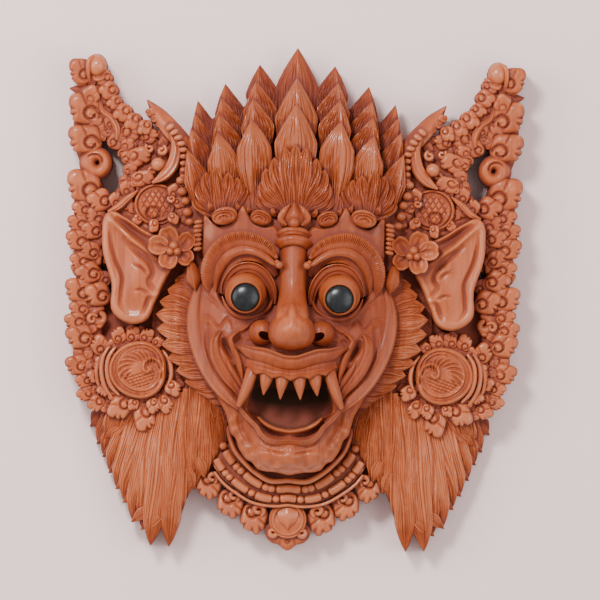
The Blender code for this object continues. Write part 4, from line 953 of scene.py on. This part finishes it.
def ears(carving):
    """The long pointed ears, each with its flower and drop."""

    def rise(x, y, rho):
        edge = 5 * (1 - np.sqrt(1 - ((rho - 0.93) / 0.07).clip(0, 1) ** 2))
        z = 46.5 - 0.10 * (x - 98) - edge + 1.4 * ridge(rho - 0.86, 0.1)
        z += crease(x, y, [(116.6, 44), (114.8, 31), (112, 21.7), (107.9, 11.7), (108.4, 1.5), (108.2, -6.4),
                           (104.2, -11)], 1.1, 2.4)
        z += crease(x, y, [(118, 51), (110, 43.6), (101.1, 35), (92.3, 28.6), (83, 21.6), (76.5, 15.6)], 2.0,
                    -3.6, 0.3)
        for path, wide, deep in (([(114, 50.2), (106, 44.8), (97, 38.6), (88, 33.6)], 2.8, 9),
                                 ([(107, 35.4), (97.6, 27), (90.4, 20.6), (88.4, 15), (90.8, 9.4), (86.4, 3)],
                                  1.5, 2.6), ([(102, 33), (96, 29), (91, 24.6)], 0.8, 1.6),
                                 ([(100.4, 20.2), (96, 18.4), (91.8, 14.4)], 0.8, 1.8),
                                 ([(99.6, 3.6), (95.6, 4.2), (91.2, 1.8)], 0.8, 1.6),
                                 ([(86, -3), (90, -1), (92.5, -6), (94.5, -12)], 1.4, 2.4)):
            z += crease(x, y, path, wide, deep)
        return z + 2.6 * bump(x - 99, y - 10, 7, 13)

    carving.add(*disc(99, 14, polar_outline(EAR, (99, 14)), rise, 16, fine=150, world=True))

    def petal(px, py, rho):
        rim = 56.6 + 2.0 * ease(0.45, 0.93, rho) - 1.8 * ease(0.93, 1.0, rho)
        return rim - 1.4 * ridge(py, 0.14) * ease(0.9, 0.0, px) + 2.2 * px

    for x, y, rx, ry, turn, lift in ((78.6, 38.0, 6.6, 6.2, 70, 0.2), (84.9, 32.4, 6.8, 6.2, 5, 1.6),
                                     (78.6, 23.6, 6.4, 6.0, 285, 0.9), (68.2, 25.6, 6.0, 5.6, 220, -0.8),
                                     (67.8, 34.8, 6.8, 5.6, 130, -0.2)):
        carving.add(*disc(x, y, lambda a, rx=rx, ry=ry: (1.04 - 0.16 * ridge(a, 0.28))
                          / np.hypot(np.cos(a) / rx, np.sin(a) / ry), lambda px, py, rho,
                          lift=lift: petal(px, py, rho) + lift, 40, turn=turn, fine=34))
    for x, y, top, size in ((75.4, 32.2, 62.2, 3.0), (73.2, 28.8, 61.6, 2.7), (77.4, 28.8, 61.6, 2.6)):
        carving.add(*bead(x, y, top, size, sides=18, deep=1.5))
    carving.add(*turned(76, 30.6, [(0, 55), (6, 55), (7, 52), (7, 38), (0, 38)], 20))
    drop = [(65.4, 25, 57, 1.2), (63.6, 18, 58.6, 3.4), (62.2, 11.4, 58.4, 4.6), (61, 4.4, 56, 0.5)]
    carving.add(*strip(drop, lambda u, v: -3.4 * np.abs(u) ** 1.6 + 0.5 * ridge(u, 0.2), thick=14, across=14,
                       along=30))


def ruff(carving, looks):
    """The ring of stiff leaves round the cheeks."""
    tips = [(69, 17.5), (74.6, 10.8), (79, 4.6), (83.9, -2.8), (86, -11), (85.3, -20.2), (82, -30.4),
            (78, -39), (72.6, -46.6), (67, -53.4), (60.8, -58), (55.4, -62.4)]
    roots = [(58, 10), (59, 4), (60, -2), (60, -9), (60, -16), (59, -24), (56, -31), (52, -38), (47, -46),
             (42, -53), (38, -58), (34, -62)]
    for place, ((x, y), (rx, ry)) in enumerate(zip(tips, roots)):
        z = 47 - 0.5 * place - 0.8 * (place % 2)
        path = [(rx, ry, z + 2, 6.0), ((rx + x) / 2 + 0.6, (ry + y) / 2 + 1.2, z + 1.4, 6.8),
                (x, y, z - 3.5, 6.0)]
        lock(carving, path, 7, looks.groove * 0.75, plump=1.5, thick=20, along=22, tip=0.42, root=0.85,
             waves=0.02, point=1.5, seed=place)


def hair_fans(carving, looks):
    """The fans of straight hair that hang below the medallions."""
    locks = [((119.8, -78.1), (98, -50), 6.4, 26), ((116.2, -90.2), (96, -52), 7.0, 28),
             ((126.0, -83.4), (99, -50), 6.4, 20), ((121.6, -94.4), (96, -52), 7.4, 21),
             ((117.6, -102.6), (93, -54), 7.8, 22), ((113.4, -112.6), (90, -56), 8.0, 23.5),
             ((108.7, -122.6), (87, -58), 8.0, 25), ((103.8, -131.2), (84, -60), 8.0, 26),
             ((98.2, -143.2), (81, -62), 7.8, 27), ((92.0, -148), (78, -62), 7.0, 28),
             ((86.8, -158.2), (76, -64), 7.2, 29), ((75.0, -158.6), (71, -62), 7.0, 30),
             ((70.2, -142.6), (67, -60), 5.6, 31), ((66.2, -130.6), (63, -58), 5.6, 32),
             ((60.2, -121.8), (59, -56), 5.6, 33), ((53.4, -114.6), (55, -54), 5.4, 34),
             ((48.4, -105.6), (51, -54), 5.0, 35), ((42.6, -97.6), (46, -54), 4.8, 36)]
    for place, ((x, y), (rx, ry), half, z) in enumerate(locks):
        path = [(rx, ry, z + 4, half), (rx + 0.36 * (x - rx) + 0.8, ry + 0.4 * (y - ry), z + 2.6,
                                        half * 1.15), (rx + 0.74 * (x - rx) + 0.5, ry + 0.76 * (y - ry),
                                                       z - 1.5, half), (x, y, z - 9, half * 0.8)]
        lock(carving, path, 7 + place % 3, looks.groove * 0.95, plump=1.4, thick=24 if z > 27 else 16,
             along=34, tip=0.2, root=0.9, waves=0.03 + 0.02 * (place % 2), seed=1.7 * place)
        if place not in (10, 11):
            out, back = (10.5, 9.0) if place < 10 else (-4.5, 13.5)
            path = [(x - out, y + back, z - 1, 3.0), (x - 0.55 * out, y + 0.62 * back, z - 2.5, 4.4),
                    (x + 0.12 * out, y - 0.04 * back, z - 8, 3.0)]
            lock(carving, path, 4, looks.groove * 0.7, plump=1.2, thick=12, along=18, tip=0.75, root=0.9,
                 seed=2.3 * place)


def collar(carving):
    """The jewelled collar under the chin."""
    plate = across_middle([(0, -121.8, 29, 8.2), (10, -121.8, 29, 8.4), (19, -119, 29, 8.6),
                           (28, -113.4, 29, 9), (36.5, -106, 29, 9.4), (43, -97, 28, 8), (46, -88, 27, 5)])
    carving.add(*strip(plate, lambda u, v: -1.5 * u, foot=4.0, across=18, along=120), lone=True)
    neck = across_middle([(0, -106, 25, 8), (16, -102, 25, 9), (30, -92, 25, 8), (38, -72, 25, 6)])
    carving.add(*strip(neck, lambda u, v: 0 * u, foot=6.0, across=6, along=50), lone=True)
    rim = across_middle([(0, -114.4, 36, 1.7), (6, -115, 36, 1.7), (11.6, -114.9, 36, 1.7),
                         (19.4, -110.9, 36.5, 1.7), (27.3, -104.2, 37, 1.7), (33.6, -97.2, 36, 1.6),
                         (37.6, -88.5, 35, 1.5), (39.6, -80, 34, 1.2)])
    carving.add(*rod(rim, 14, 160, flat=1.5, cap=0.01), lone=True)
    foot = across_middle([(0, -130.2, 29.5, 1.0), (7, -131, 29.5, 1.0), (13.2, -130.8, 29.5, 1.0),
                          (22.9, -128.8, 29.5, 1.0), (32.7, -123.4, 30, 1.0), (42.5, -115.8, 30, 1.0),
                          (47.4, -109.6, 29, 0.9)])
    carving.add(*rod(foot, 12, 160, flat=1.6, cap=0.01), lone=True)
    rows = [([(0, -119.4, 0, 0), (9, -120.0, 0, 0), (18, -117.6, 0, 0), (27, -111.6, 0, 0),
              (35, -104.4, 0, 0), (40.6, -96, 0, 0), (43, -90, 0, 0)], 2.75, 34.9,
             (("long", 0.0, 0.145), ("short", 0.19), ("short", 0.255), ("long", 0.295, 0.545),
              ("short", 0.59), ("short", 0.655), ("long", 0.70, 0.88), ("short", 0.935))),
            ([(0, -125.6, 0, 0), (9, -126.4, 0, 0), (17.1, -125.4, 0, 0), (26, -121.4, 0, 0),
              (34.6, -115.6, 0, 0), (42.4, -107.8, 0, 0), (47, -100, 0, 0)], 2.6, 32.7,
             (("long", 0.0, 0.095), ("short", 0.135), ("long", 0.175, 0.375), ("short", 0.415),
              ("long", 0.455, 0.675), ("short", 0.715), ("short", 0.775), ("long", 0.815, 0.97)))]
    for line, size, top, pattern in rows:
        for kind, start, *stop in pattern:
            if kind == "short":
                x, y = spline(line, [start])[0, :2]
                carving.add(*bead(x, y, top, size * 0.98, size * 0.9, sides=16))
            elif start == 0:
                ends = [tuple(p) for p in spline(line, [0, stop[0] / 2, stop[0]])]
                carving.add(*rod(across_middle([(p[0], p[1], top - size, size) for p in ends]), 14, 36,
                                 cap=0.12), lone=True)
            else:
                ends = [tuple(p) for p in spline(line, [start, (start + stop[0]) / 2, stop[0]])]
                carving.add(*rod([(p[0], p[1], top - size, size) for p in ends], 14, 30, cap=0.14))
    for x, y, rx, ry, turn, flip in ((50.8, -118.4, 8.2, 8.4, -60, True), (37.0, -129.8, 8.6, 8.8, -68, True),
                                     (21.8, -138.4, 9.6, 9.0, -66, True)):
        head(carving, x, y, rx, ry, 26, turn, flip, foot=3, eye=(-0.28, -0.3), cuts=(-0.5, 0.3, 0.9), fine=34)
        curl(carving, x - 0.30 * rx, y + 0.52 * ry, 0.62 * rx, 25.5, 250, wide=0.3, flip=True)
    leaf = [(14.6, -146), (13.4, -151), (9.4, -154.6), (6.2, -155.4), (3.2, -157.6), (0, -159.2), (6, -140),
            (0, -139)]
    carving.add(*disc(0, -148, polar_outline(leaf, (0, -148)), lambda x, y, rho: 24.5 - 2.5 * rho**4 - 1.2
                      * ridge(np.hypot(x, y + 153.6) - 1.2, 0.6) - 0.8 * ridge(np.abs(x) - 4.6, 0.6)
                      * ease(-151, -154, y), 3, fine=60, world=True), lone=True)
    curl(carving, 9.4, -147.4, 5.0, 25.5, 120, wide=0.3)
    ring = [(0, 27), (8.3, 27), (8.6, 28.6), (9.4, 29.2), (10.2, 28.4), (10.5, 27.6), (11.2, 28.2),
            (11.8, 27.2), (12, 22), (12, 4), (0, 4)]
    carving.add(*turned(0, -139.4, ring, 56), lone=True)
    gem = [(0, -131.6, 29, 6.2), (0, -136.4, 30.4, 6.4), (0, -141, 30, 4.6), (0, -146, 28.2, 0.4)]
    carving.add(*strip(gem, lambda u, v: -2.2 * np.abs(u) ** 1.4, thick=6, across=16, along=24), lone=True)


# The finishes

class Sock:
    """A value in a material: an expression on it adds the Math nodes that work it out."""

    def __init__(self, tree, link):
        self.tree, self.link = tree, link

    def maths(self, operation, *others, swap=False):
        values = (others[0], self, *others[1:]) if swap else (self, *others)
        node = self.tree.nodes.new("ShaderNodeMath")
        node.operation = operation
        for socket, value in zip(node.inputs, values):
            if isinstance(value, Sock):
                self.tree.links.new(value.link, socket)
            else:
                socket.default_value = value
        return Sock(self.tree, node.outputs[0])

    def __add__(self, other):
        return self.maths("ADD", other)

    __radd__ = __add__

    def __mul__(self, other):
        return self.maths("MULTIPLY", other)

    __rmul__ = __mul__

    def __sub__(self, other):
        return self.maths("SUBTRACT", other)

    def __rsub__(self, other):
        return self.maths("SUBTRACT", other, swap=True)

    def held(self):
        """The value kept between 0 and 1."""
        return self.maths("MAXIMUM", 0.0).maths("MINIMUM", 1.0)


class Finish:
    """A material with a Principled shader and a short way to add nodes to it."""

    def __init__(self, name, **plain):
        self.material = bpy.data.materials.new(name)
        self.material.use_nodes = True
        self.tree = self.material.node_tree
        self.shader = self.tree.nodes["Principled BSDF"]
        for socket, value in plain.items():
            self.shader.inputs[socket.replace("_", " ")].default_value = value

    def node(self, kind, settings=None, output=0, **sockets):
        made = self.tree.nodes.new("ShaderNode" + kind)
        for setting, value in (settings or {}).items():
            if setting == "stops":
                ramp = made.color_ramp
                for spot, (place, colour) in enumerate(value):
                    element = ramp.elements[spot] if spot < len(ramp.elements) else ramp.elements.new(place)
                    element.position, element.color = place, (*colour, 1)
            else:
                setattr(made, setting, value)
        for socket, value in sockets.items():
            numbered = socket[0] == "i" and socket[1:].isdigit()
            target = made.inputs[int(socket[1:]) if numbered else socket]
            if isinstance(value, Sock):
                self.tree.links.new(value.link, target)
            else:
                target.default_value = value
        return Sock(self.tree, made.outputs[output])

    def mix(self, share, first, second, blend="MIX"):
        """Two colours mixed, each a socket or an RGB triple."""
        sides = [side if isinstance(side, Sock) else (*side, 1) for side in (first, second)]
        return self.node("Mix", {"data_type": "RGBA", "blend_type": blend}, output=2, i0=share, i6=sides[0],
                         i7=sides[1])

    def set(self, socket, value):
        self.tree.links.new(value.link, self.shader.inputs[socket])


def wood_finish(looks):
    """Waxed reddish wood: grain along the mask, stain and painted shade in the cuts and the mouth, rubbed
    wear and painted highlight on raised parts.
    """
    made = Finish("waxed_wood", Coat_Weight=looks.wax, Coat_Roughness=0.18, Coat_IOR=1.45,
                  Specular_IOR_Level=0.25)
    place = made.node("TexCoord", output=3)
    grain_place = made.node("Mapping", Vector=place, Scale=(1.0, 0.07, 1.0))
    fine_place = made.node("Mapping", Vector=place, Scale=(1.0, 0.16, 1.0))
    grain = made.node("TexNoise", Vector=grain_place, Scale=240.0, Detail=4.0, Roughness=0.6, Distortion=0.6)
    pores = made.node("TexNoise", Vector=fine_place, Scale=1500.0, Detail=2.0, Roughness=0.6)
    cloud = made.node("TexNoise", Vector=place, Scale=22.0, Detail=3.0, Roughness=0.55)
    patches = made.node("TexNoise", Vector=place, Scale=85.0, Detail=5.0, Roughness=0.66)
    recess = made.node("Attribute", {"attribute_name": "recess"}, output=2) + patches * 0.6 - 0.29
    light = made.mix((cloud * 1.5 - 0.25).held(), looks.wood, looks.wood_light)
    streaked = made.mix((grain * 5.0 - 2.15).held() * 0.5, light, looks.wood_dark)
    # Raised parts paler: rubbed wear, and a painted highlight
    rubbed = made.mix((recess * -1.0).held() * 0.5, streaked, looks.wood_rubbed)
    polish = made.node("Attribute", {"attribute_name": "polish"}, output=2)
    # The face and crown in a darker tone, the nose tip left paler as a painted highlight
    handled = made.mix(polish, rubbed, looks.handled, "MULTIPLY")
    # Cuts darker: stain, and painted shade where the recess is deep
    stained = made.mix(recess.held() * 0.88, handled, looks.stain)
    # The deepest recesses, mostly inside the mouth, nearly black: painted shade
    made.set("Base Color", made.mix(((recess - 1.5) * 0.8).held(), stained, looks.soot))
    made.set("Roughness", (0.42 + grain * 0.2 + recess.held() * 0.3).held())
    made.set("Coat Weight", (((1.0 - recess.held()) * (0.25 + grain * 0.45) + (recess * -1.0).held() * 1.5)
                             * (1.0 - polish * 0.5) * looks.wax).held())
    relief = grain * 0.35 + pores * 0.25 + cloud * 0.4
    made.set("Normal", made.node("Bump", Height=relief, Strength=0.3, Distance=0.001))
    return made.material


def horn_finish():
    """Polished black horn, a little cloudy."""
    made = Finish("polished_horn", Roughness=0.26, Specular_IOR_Level=0.35)
    cloud = made.node("TexNoise", Vector=made.node("TexCoord", output=3), Scale=420.0, Detail=3.0)
    made.set("Base Color", made.mix((cloud * 2 - 0.6).held(), (0.004, 0.005, 0.006), (0.014, 0.016, 0.017)))
    return made.material


def plaster_finish(colour):
    """Matt pale paint for the floor."""
    made = Finish("pale_floor", Roughness=0.85)
    cloud = made.node("TexNoise", Vector=made.node("TexCoord", output=3), Scale=6.0, Detail=4.0)
    made.set("Base Color", made.mix((cloud * 2 - 0.5).held() * 0.25, colour, tuple(c * 0.9 for c in colour)))
    return made.material


# Stain that stays in the cuts, with painted shade in the cuts, the hollows and the mouth, and painted
# highlight on ridges

# The field of heights, in millimetres, and the reaches a cut is judged by: reach, weight and full depth
FIELD_CORNER, FIELD_SIZE = (-152.0, -168.0), (304, 336)
REACHES = ((1.1, 0.45, 0.8), (4.0, 0.34, 4.5), (11.0, 0.26, 12))


def smoothed(field, reach):
    """A field of heights blurred by a bell of this reach, in cells."""
    cells = np.arange(-int(3 * reach) - 1, int(3 * reach) + 2)
    bell = np.exp(-((cells / reach) ** 2) / 2)
    bell /= bell.sum()
    for axis in (0, 1):
        field = np.apply_along_axis(lambda line: np.convolve(line, bell, mode="same"), axis, field)
    return field


def mark_recesses(pieces, cell=0.5):
    """Gives each corner how deep it lies below its surroundings, for stain and painted shade in cuts, wear
    and painted highlight on ridges, and painted shade in the mouth and the face's hollows.
    """
    low, size = FIELD_CORNER, tuple(int(side / cell) for side in FIELD_SIZE)
    places = []
    for obj in pieces:
        own = np.empty(len(obj.data.vertices) * 3)
        obj.data.vertices.foreach_get("co", own)
        places.append(own.reshape(-1, 3) / MM)
    field = np.full(size, -1.0)
    for obj, own in zip(pieces, places):
        obj.data.calc_loop_triangles()
        corners = np.empty(len(obj.data.loop_triangles) * 3, dtype=np.int64)
        obj.data.loop_triangles.foreach_get("vertices", corners)
        corners = own[corners.reshape(-1, 3)]
        for shares in ((1, 0, 0), (0, 1, 0), (0, 0, 1), (1 / 3, 1 / 3, 1 / 3), (0.5, 0.5, 0), (0, 0.5, 0.5),
                       (0.5, 0, 0.5)):
            spots = np.einsum("tci,c->ti", corners, shares)
            at = ((spots[:, :2] - low) / cell).astype(int)
            np.maximum.at(field, (at[:, 0], at[:, 1]), spots[:, 2])
    for _ in range(3):
        around = np.max([np.roll(field, (dx, dy), (0, 1)) for dx in (-1, 0, 1) for dy in (-1, 0, 1)], axis=0)
        field = np.where(field < 0, around, field)
    carved = (field > 0).astype(float)
    levels = [smoothed(np.maximum(field, 0), reach / cell) / np.maximum(smoothed(carved, reach / cell), 1e-3)
              for reach, _, _ in REACHES]
    for obj, own in zip(pieces, places):
        at = (own[:, :2] - low) / cell - 0.5
        left = np.floor(at).astype(int)
        share = at - left

        def read(heights):
            rows = [heights[left[:, 0] + dx, left[:, 1] + dy] * (share[:, 0] if dx else 1 - share[:, 0])
                    * (share[:, 1] if dy else 1 - share[:, 1]) for dx in (0, 1) for dy in (0, 1)]
            return sum(rows)

        deep = sum(weight * (read(level) - own[:, 2]) / full for level,
                   (_, weight, full) in zip(levels, REACHES))
        x, y, z = own.T
        handled = ease(1.2, 0.85, np.hypot(x / 76, (y - 30) / 130))
        face = ease(1.2, 0.85, np.hypot(x / 68, (y + 25) / 90))
        deep = deep * (1.3 - 0.6 * face) + 0.05 - 0.05 * face - 0.45 * bump(x, y + 122, 50, 22)
        ax = np.abs(x)
        deep += 0.14 * ease(62, 78, ax) * ease(45, 65, y) - 0.34 * bump(ax - 85, y + 108, 48, 62)
        # Darker under the eyes, beside the nose and in the cheek folds: painted shade in the hollows
        deep += 0.4 * bump(ax - 23, y + 15, 13, 9) + 0.26 * bump(ax - 43, y + 20, 10, 22)
        # Inside the mouth, darkest under the upper lip: painted shade
        within = ease(1, 0.8, np.hypot(x / 27, (y + 62) / 22))
        mouth = bump(x, y + 59, 24, 21) ** 0.3 * ease(68, 60, z) * within
        deep = deep.clip(-1.5, 1.4) + 0.32 * bump(ax - 33, y - 53, 28, 11) * ease(79, 73, z)
        deep += mouth * (2.1 + 1.4 * ease(-71, -57, y))
        # The nose tip is left out of the darker tone: a painted highlight
        handled = handled * (1 - 0.85 * bump(x, y + 16, 13, 17) * ease(84, 90, z))
        recess = obj.data.attributes.new("recess", "FLOAT", "POINT")
        recess.data.foreach_set("value", deep.astype(np.float32))
        polish = obj.data.attributes.new("polish", "FLOAT", "POINT")
        polish.data.foreach_set("value", handled.astype(np.float32))


# The add-on

PUPIL_DOME = 2.8
# The camera's height and half the width that it sees, in metres, then its place and its turn
CAMERA_HEIGHT, CAMERA_REACH = 4.0, 0.1893
CAMERA_PLACE, CAMERA_TURN = (4.74, -0.21), 1.243
# Each lamp: its name, its power, its width and where it hangs, in metres
LAMPS = (("key", "key", 0.34, (-0.42, 0.68, 1.3)), ("fill", "fill", 1.2, (0.9, 0.0, 1.2)),
         ("side", "fill", 1.0, (-1.1, 0.2, 0.9)))
SKY_COLOUR, SKY_STRENGTH = (1.0, 0.97, 0.95), 0.76


def colour(name, description, default):
    return bpy.props.FloatVectorProperty(name=name, description=description, subtype="COLOR", size=3, min=0.0,
                                         max=1.0, default=default)


def amount(name, description, default, high=1.0, **more):
    return bpy.props.FloatProperty(name=name, description=description, default=default, min=0.0, max=high,
                                   **more)


class MaskCarvingSizes(bpy.types.PropertyGroup):
    """Sizes of the fine carving."""

    groove: amount("Groove depth", "Depth of the strands cut in hair and feathers, in millimetres", 0.5,
                   high=1.5)
    face_fineness: bpy.props.IntProperty(name="Face fineness",
                                         description="Rows of corners across the face's skin", default=290,
                                         min=60, max=300)


class MaskFinishLooks(bpy.types.PropertyGroup):
    """Colours and polish of the finishes, and the light."""

    wood: colour("Wood", "Colour of the carved wood", (0.36, 0.066, 0.0155))
    wood_light: colour("Light wood", "Colour of the paler wood", (0.45, 0.106, 0.033))
    wood_dark: colour("Grain", "Colour of the grain's dark streaks", (0.2, 0.031, 0.009))
    # Rubbed wear, and also a painted highlight on raised parts
    wood_rubbed: colour("Rubbed edges", "Colour where handling has rubbed the stain off",
                        (0.56, 0.168, 0.064))
    # Stain in the cuts, and painted shade there too
    stain: colour("Stain", "Colour left in the cuts", (0.2, 0.047, 0.032))
    # Painted shade deep inside the mouth
    soot: colour("Dark of the mouth", "Colour deep inside the mouth", (0.05, 0.02, 0.01))
    handled: colour("Handled wood", "Tint of the face and crown, which are polished most",
                    (0.67, 0.545, 0.42))
    wax: amount("Wax", "How much wax lies on the wood", 0.42)
    floor: colour("Floor", "Colour of the floor", (0.89, 0.69, 0.675))
    key: amount("Key light", "Power of the main lamp", 21, high=400, unit="POWER")
    fill: amount("Fill light", "Power of the side lamp", 10, high=400, unit="POWER")


def kept(name, make):
    """A finish by name, made once."""
    return bpy.data.materials.get(name) or make()


def wood_of(context):
    return kept("waxed_wood", lambda: wood_finish(context.scene.mask_looks))


class CarvingStep(bpy.types.Operator):
    """A step that carves forms and makes them one piece of wood."""

    bl_options = {"REGISTER", "UNDO"}
    piece = ""
    forms = ()
    sharp = 48

    def execute(self, context):
        carving = Carving()
        for form in self.forms:
            if "looks" in form.__code__.co_varnames[:form.__code__.co_argcount]:
                form(carving, context.scene.mask_sizes)
            else:
                form(carving)
        carving.piece(self.piece, wood_of(context), sharp=self.sharp)
        return {"FINISHED"}


class MASK_OT_base(CarvingStep):
    """Carve the block that all the ornament stands on"""

    bl_idname = "mask.base"
    bl_label = "Block"
    piece, forms = "mask_block", (base_block,)


class MASK_OT_face(CarvingStep):
    """Carve the skin of the face"""

    bl_idname = "mask.face"
    bl_label = "Face"
    piece, forms, sharp = "face_skin", (face_skin,), 60


class MASK_OT_features(CarvingStep):
    """Carve the eyes, brows, nose, lips, teeth and cheek folds"""

    bl_idname = "mask.features"
    bl_label = "Features"
    piece, forms = "face_features", (eyes, nose_and_mouth)


class MASK_OT_crown(CarvingStep):
    """Carve the crown of stacked feathers"""

    bl_idname = "mask.crown"
    bl_label = "Crown feathers"
    piece, forms = "crown_feathers", (feathers,)


class MASK_OT_brow(CarvingStep):
    """Carve the hair tufts, the jewels and the stud over the brow"""

    bl_idname = "mask.brow"
    bl_label = "Tufts and diadem"
    piece, forms = "tufts_and_diadem", (hair_tufts, diadem)


class MASK_OT_wings(CarvingStep):
    """Carve the scrolled side panels"""

    bl_idname = "mask.wings"
    bl_label = "Side panels"
    piece, forms = "side_panels", (wings,)


class MASK_OT_ground(CarvingStep):
    """Carve the small scrolls of the ground between the larger ones"""

    bl_idname = "mask.ground"
    bl_label = "Ground scrolls"
    piece, forms = "ground_scrolls", (undergrowth,)


class MASK_OT_ornaments(CarvingStep):
    """Carve the rosettes and medallions"""

    bl_idname = "mask.ornaments"
    bl_label = "Rosettes and medallions"
    piece, forms = "rosettes_and_medallions", (round_ornaments,)


class MASK_OT_ears(CarvingStep):
    """Carve the ears with their flowers and drops"""

    bl_idname = "mask.ears"
    bl_label = "Ears"
    piece, forms = "ears_and_flowers", (ears,)


class MASK_OT_hair(CarvingStep):
    """Carve the ruff round the cheeks and the fans of hair"""

    bl_idname = "mask.hair"
    bl_label = "Ruff and hair"
    piece, forms = "ruff_and_hair", (ruff, hair_fans)


class MASK_OT_collar(CarvingStep):
    """Carve the jewelled collar"""

    bl_idname = "mask.collar"
    bl_label = "Collar"
    piece, forms = "jewelled_collar", (collar,)


class MASK_OT_stain(bpy.types.Operator):
    """Work the stain, the painted shade and the painted highlight into all the carved pieces"""

    bl_idname = "mask.stain"
    bl_label = "Stain the cuts"

    def execute(self, context):
        pieces = [obj for obj in context.scene.objects if obj.type == "MESH"
                  and "waxed_wood" in obj.data.materials]
        if not pieces:
            raise RuntimeError("nothing is carved yet")
        mark_recesses(pieces)
        return {"FINISHED"}


class MASK_OT_pupils(bpy.types.Operator):
    """Turn the horn pupils"""

    bl_idname = "mask.pupils"
    bl_label = "Pupils"

    def execute(self, context):
        finish = kept("polished_horn", horn_finish)
        for name in ("pupil_right", "pupil_left"):
            low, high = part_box(name)
            x, y = (low[0] + high[0]) / 2 / MM, (low[1] + high[1]) / 2 / MM
            radius, back, front = (high[0] - low[0]) / 2 / MM, low[2] / MM, high[2] / MM
            edge = front - PUPIL_DOME
            dome = [(radius * math.sin(a), edge + PUPIL_DOME * math.cos(a))
                    for a in np.linspace(0, math.pi / 2, 14)]
            carving = Carving()
            carving.add(*turned(x, y, dome + [(radius, back + 0.3), (radius - 0.3, back), (0, back)], 64),
                        lone=True)
            carving.piece(name + "_horn", finish, "black_horn", nodes=(name,))
        return {"FINISHED"}


class MASK_OT_stage(bpy.types.Operator):
    """Set the floor, the soft lamps and the camera"""

    bl_idname = "mask.stage"
    bl_label = "Stage"

    def execute(self, context):
        looks = context.scene.mask_looks
        settle()
        bpy.ops.mesh.primitive_plane_add(size=6, location=(0, 0, 0))
        floor = context.object
        floor.name = "floor"
        floor.data.materials.append(plaster_finish(tuple(looks.floor)))
        floor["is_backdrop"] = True
        for name, power, size, place in LAMPS:
            bpy.ops.object.light_add(type="AREA", location=place)
            lamp = context.object
            lamp.name = name
            lamp.data.shape, lamp.data.size, lamp.data.energy = "DISK", size, getattr(looks, power)
            lamp.rotation_euler = (Vector((0, 0, 0.03)) - Vector(place)).to_track_quat("-Z", "Y").to_euler()
        world = bpy.data.worlds.new("studio")
        world.use_nodes = True
        world.node_tree.nodes["Background"].inputs["Color"].default_value = (*SKY_COLOUR, 1)
        world.node_tree.nodes["Background"].inputs["Strength"].default_value = SKY_STRENGTH
        context.scene.world = world
        camera = bpy.data.objects.new("camera", bpy.data.cameras.new("camera"))
        context.scene.collection.objects.link(camera)
        camera.location = (CAMERA_PLACE[0] * MM, CAMERA_PLACE[1] * MM, CAMERA_HEIGHT + 40 * MM)
        camera.rotation_euler = (0, 0, math.radians(CAMERA_TURN))
        camera.data.sensor_fit = "HORIZONTAL"
        camera.data.angle = 2 * math.atan(CAMERA_REACH / CAMERA_HEIGHT)
        context.scene.camera = camera
        return {"FINISHED"}


STEPS = (MASK_OT_base, MASK_OT_face, MASK_OT_features, MASK_OT_crown, MASK_OT_brow, MASK_OT_wings,
         MASK_OT_ground, MASK_OT_ornaments, MASK_OT_ears, MASK_OT_hair, MASK_OT_collar, MASK_OT_stain,
         MASK_OT_pupils, MASK_OT_stage)


class MASK_PT_steps(bpy.types.Panel):
    """The mask's sizes, finishes and carving steps"""

    bl_label = "Carved wall mask"
    bl_idname = "MASK_PT_steps"
    bl_space_type = "VIEW_3D"
    bl_region_type = "UI"
    bl_category = "Mask"

    def draw(self, context):
        for group in (context.scene.mask_sizes, context.scene.mask_looks):
            for name in group.__annotations__:
                self.layout.prop(group, name)
        for step in STEPS:
            self.layout.operator(step.bl_idname)


CLASSES = (MaskCarvingSizes, MaskFinishLooks, *STEPS, MASK_PT_steps)


def register():
    for made in CLASSES:
        bpy.utils.register_class(made)
    bpy.types.Scene.mask_sizes = bpy.props.PointerProperty(type=MaskCarvingSizes)
    bpy.types.Scene.mask_looks = bpy.props.PointerProperty(type=MaskFinishLooks)


def unregister():
    del bpy.types.Scene.mask_looks, bpy.types.Scene.mask_sizes
    for made in reversed(CLASSES):
        bpy.utils.unregister_class(made)


def main():
    register()
    for step in STEPS:
        getattr(bpy.ops.mask, step.bl_idname.split(".")[1])()
    visual_box = [[float(c) for c in corner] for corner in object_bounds()]


if __name__ == "__main__":
    main()
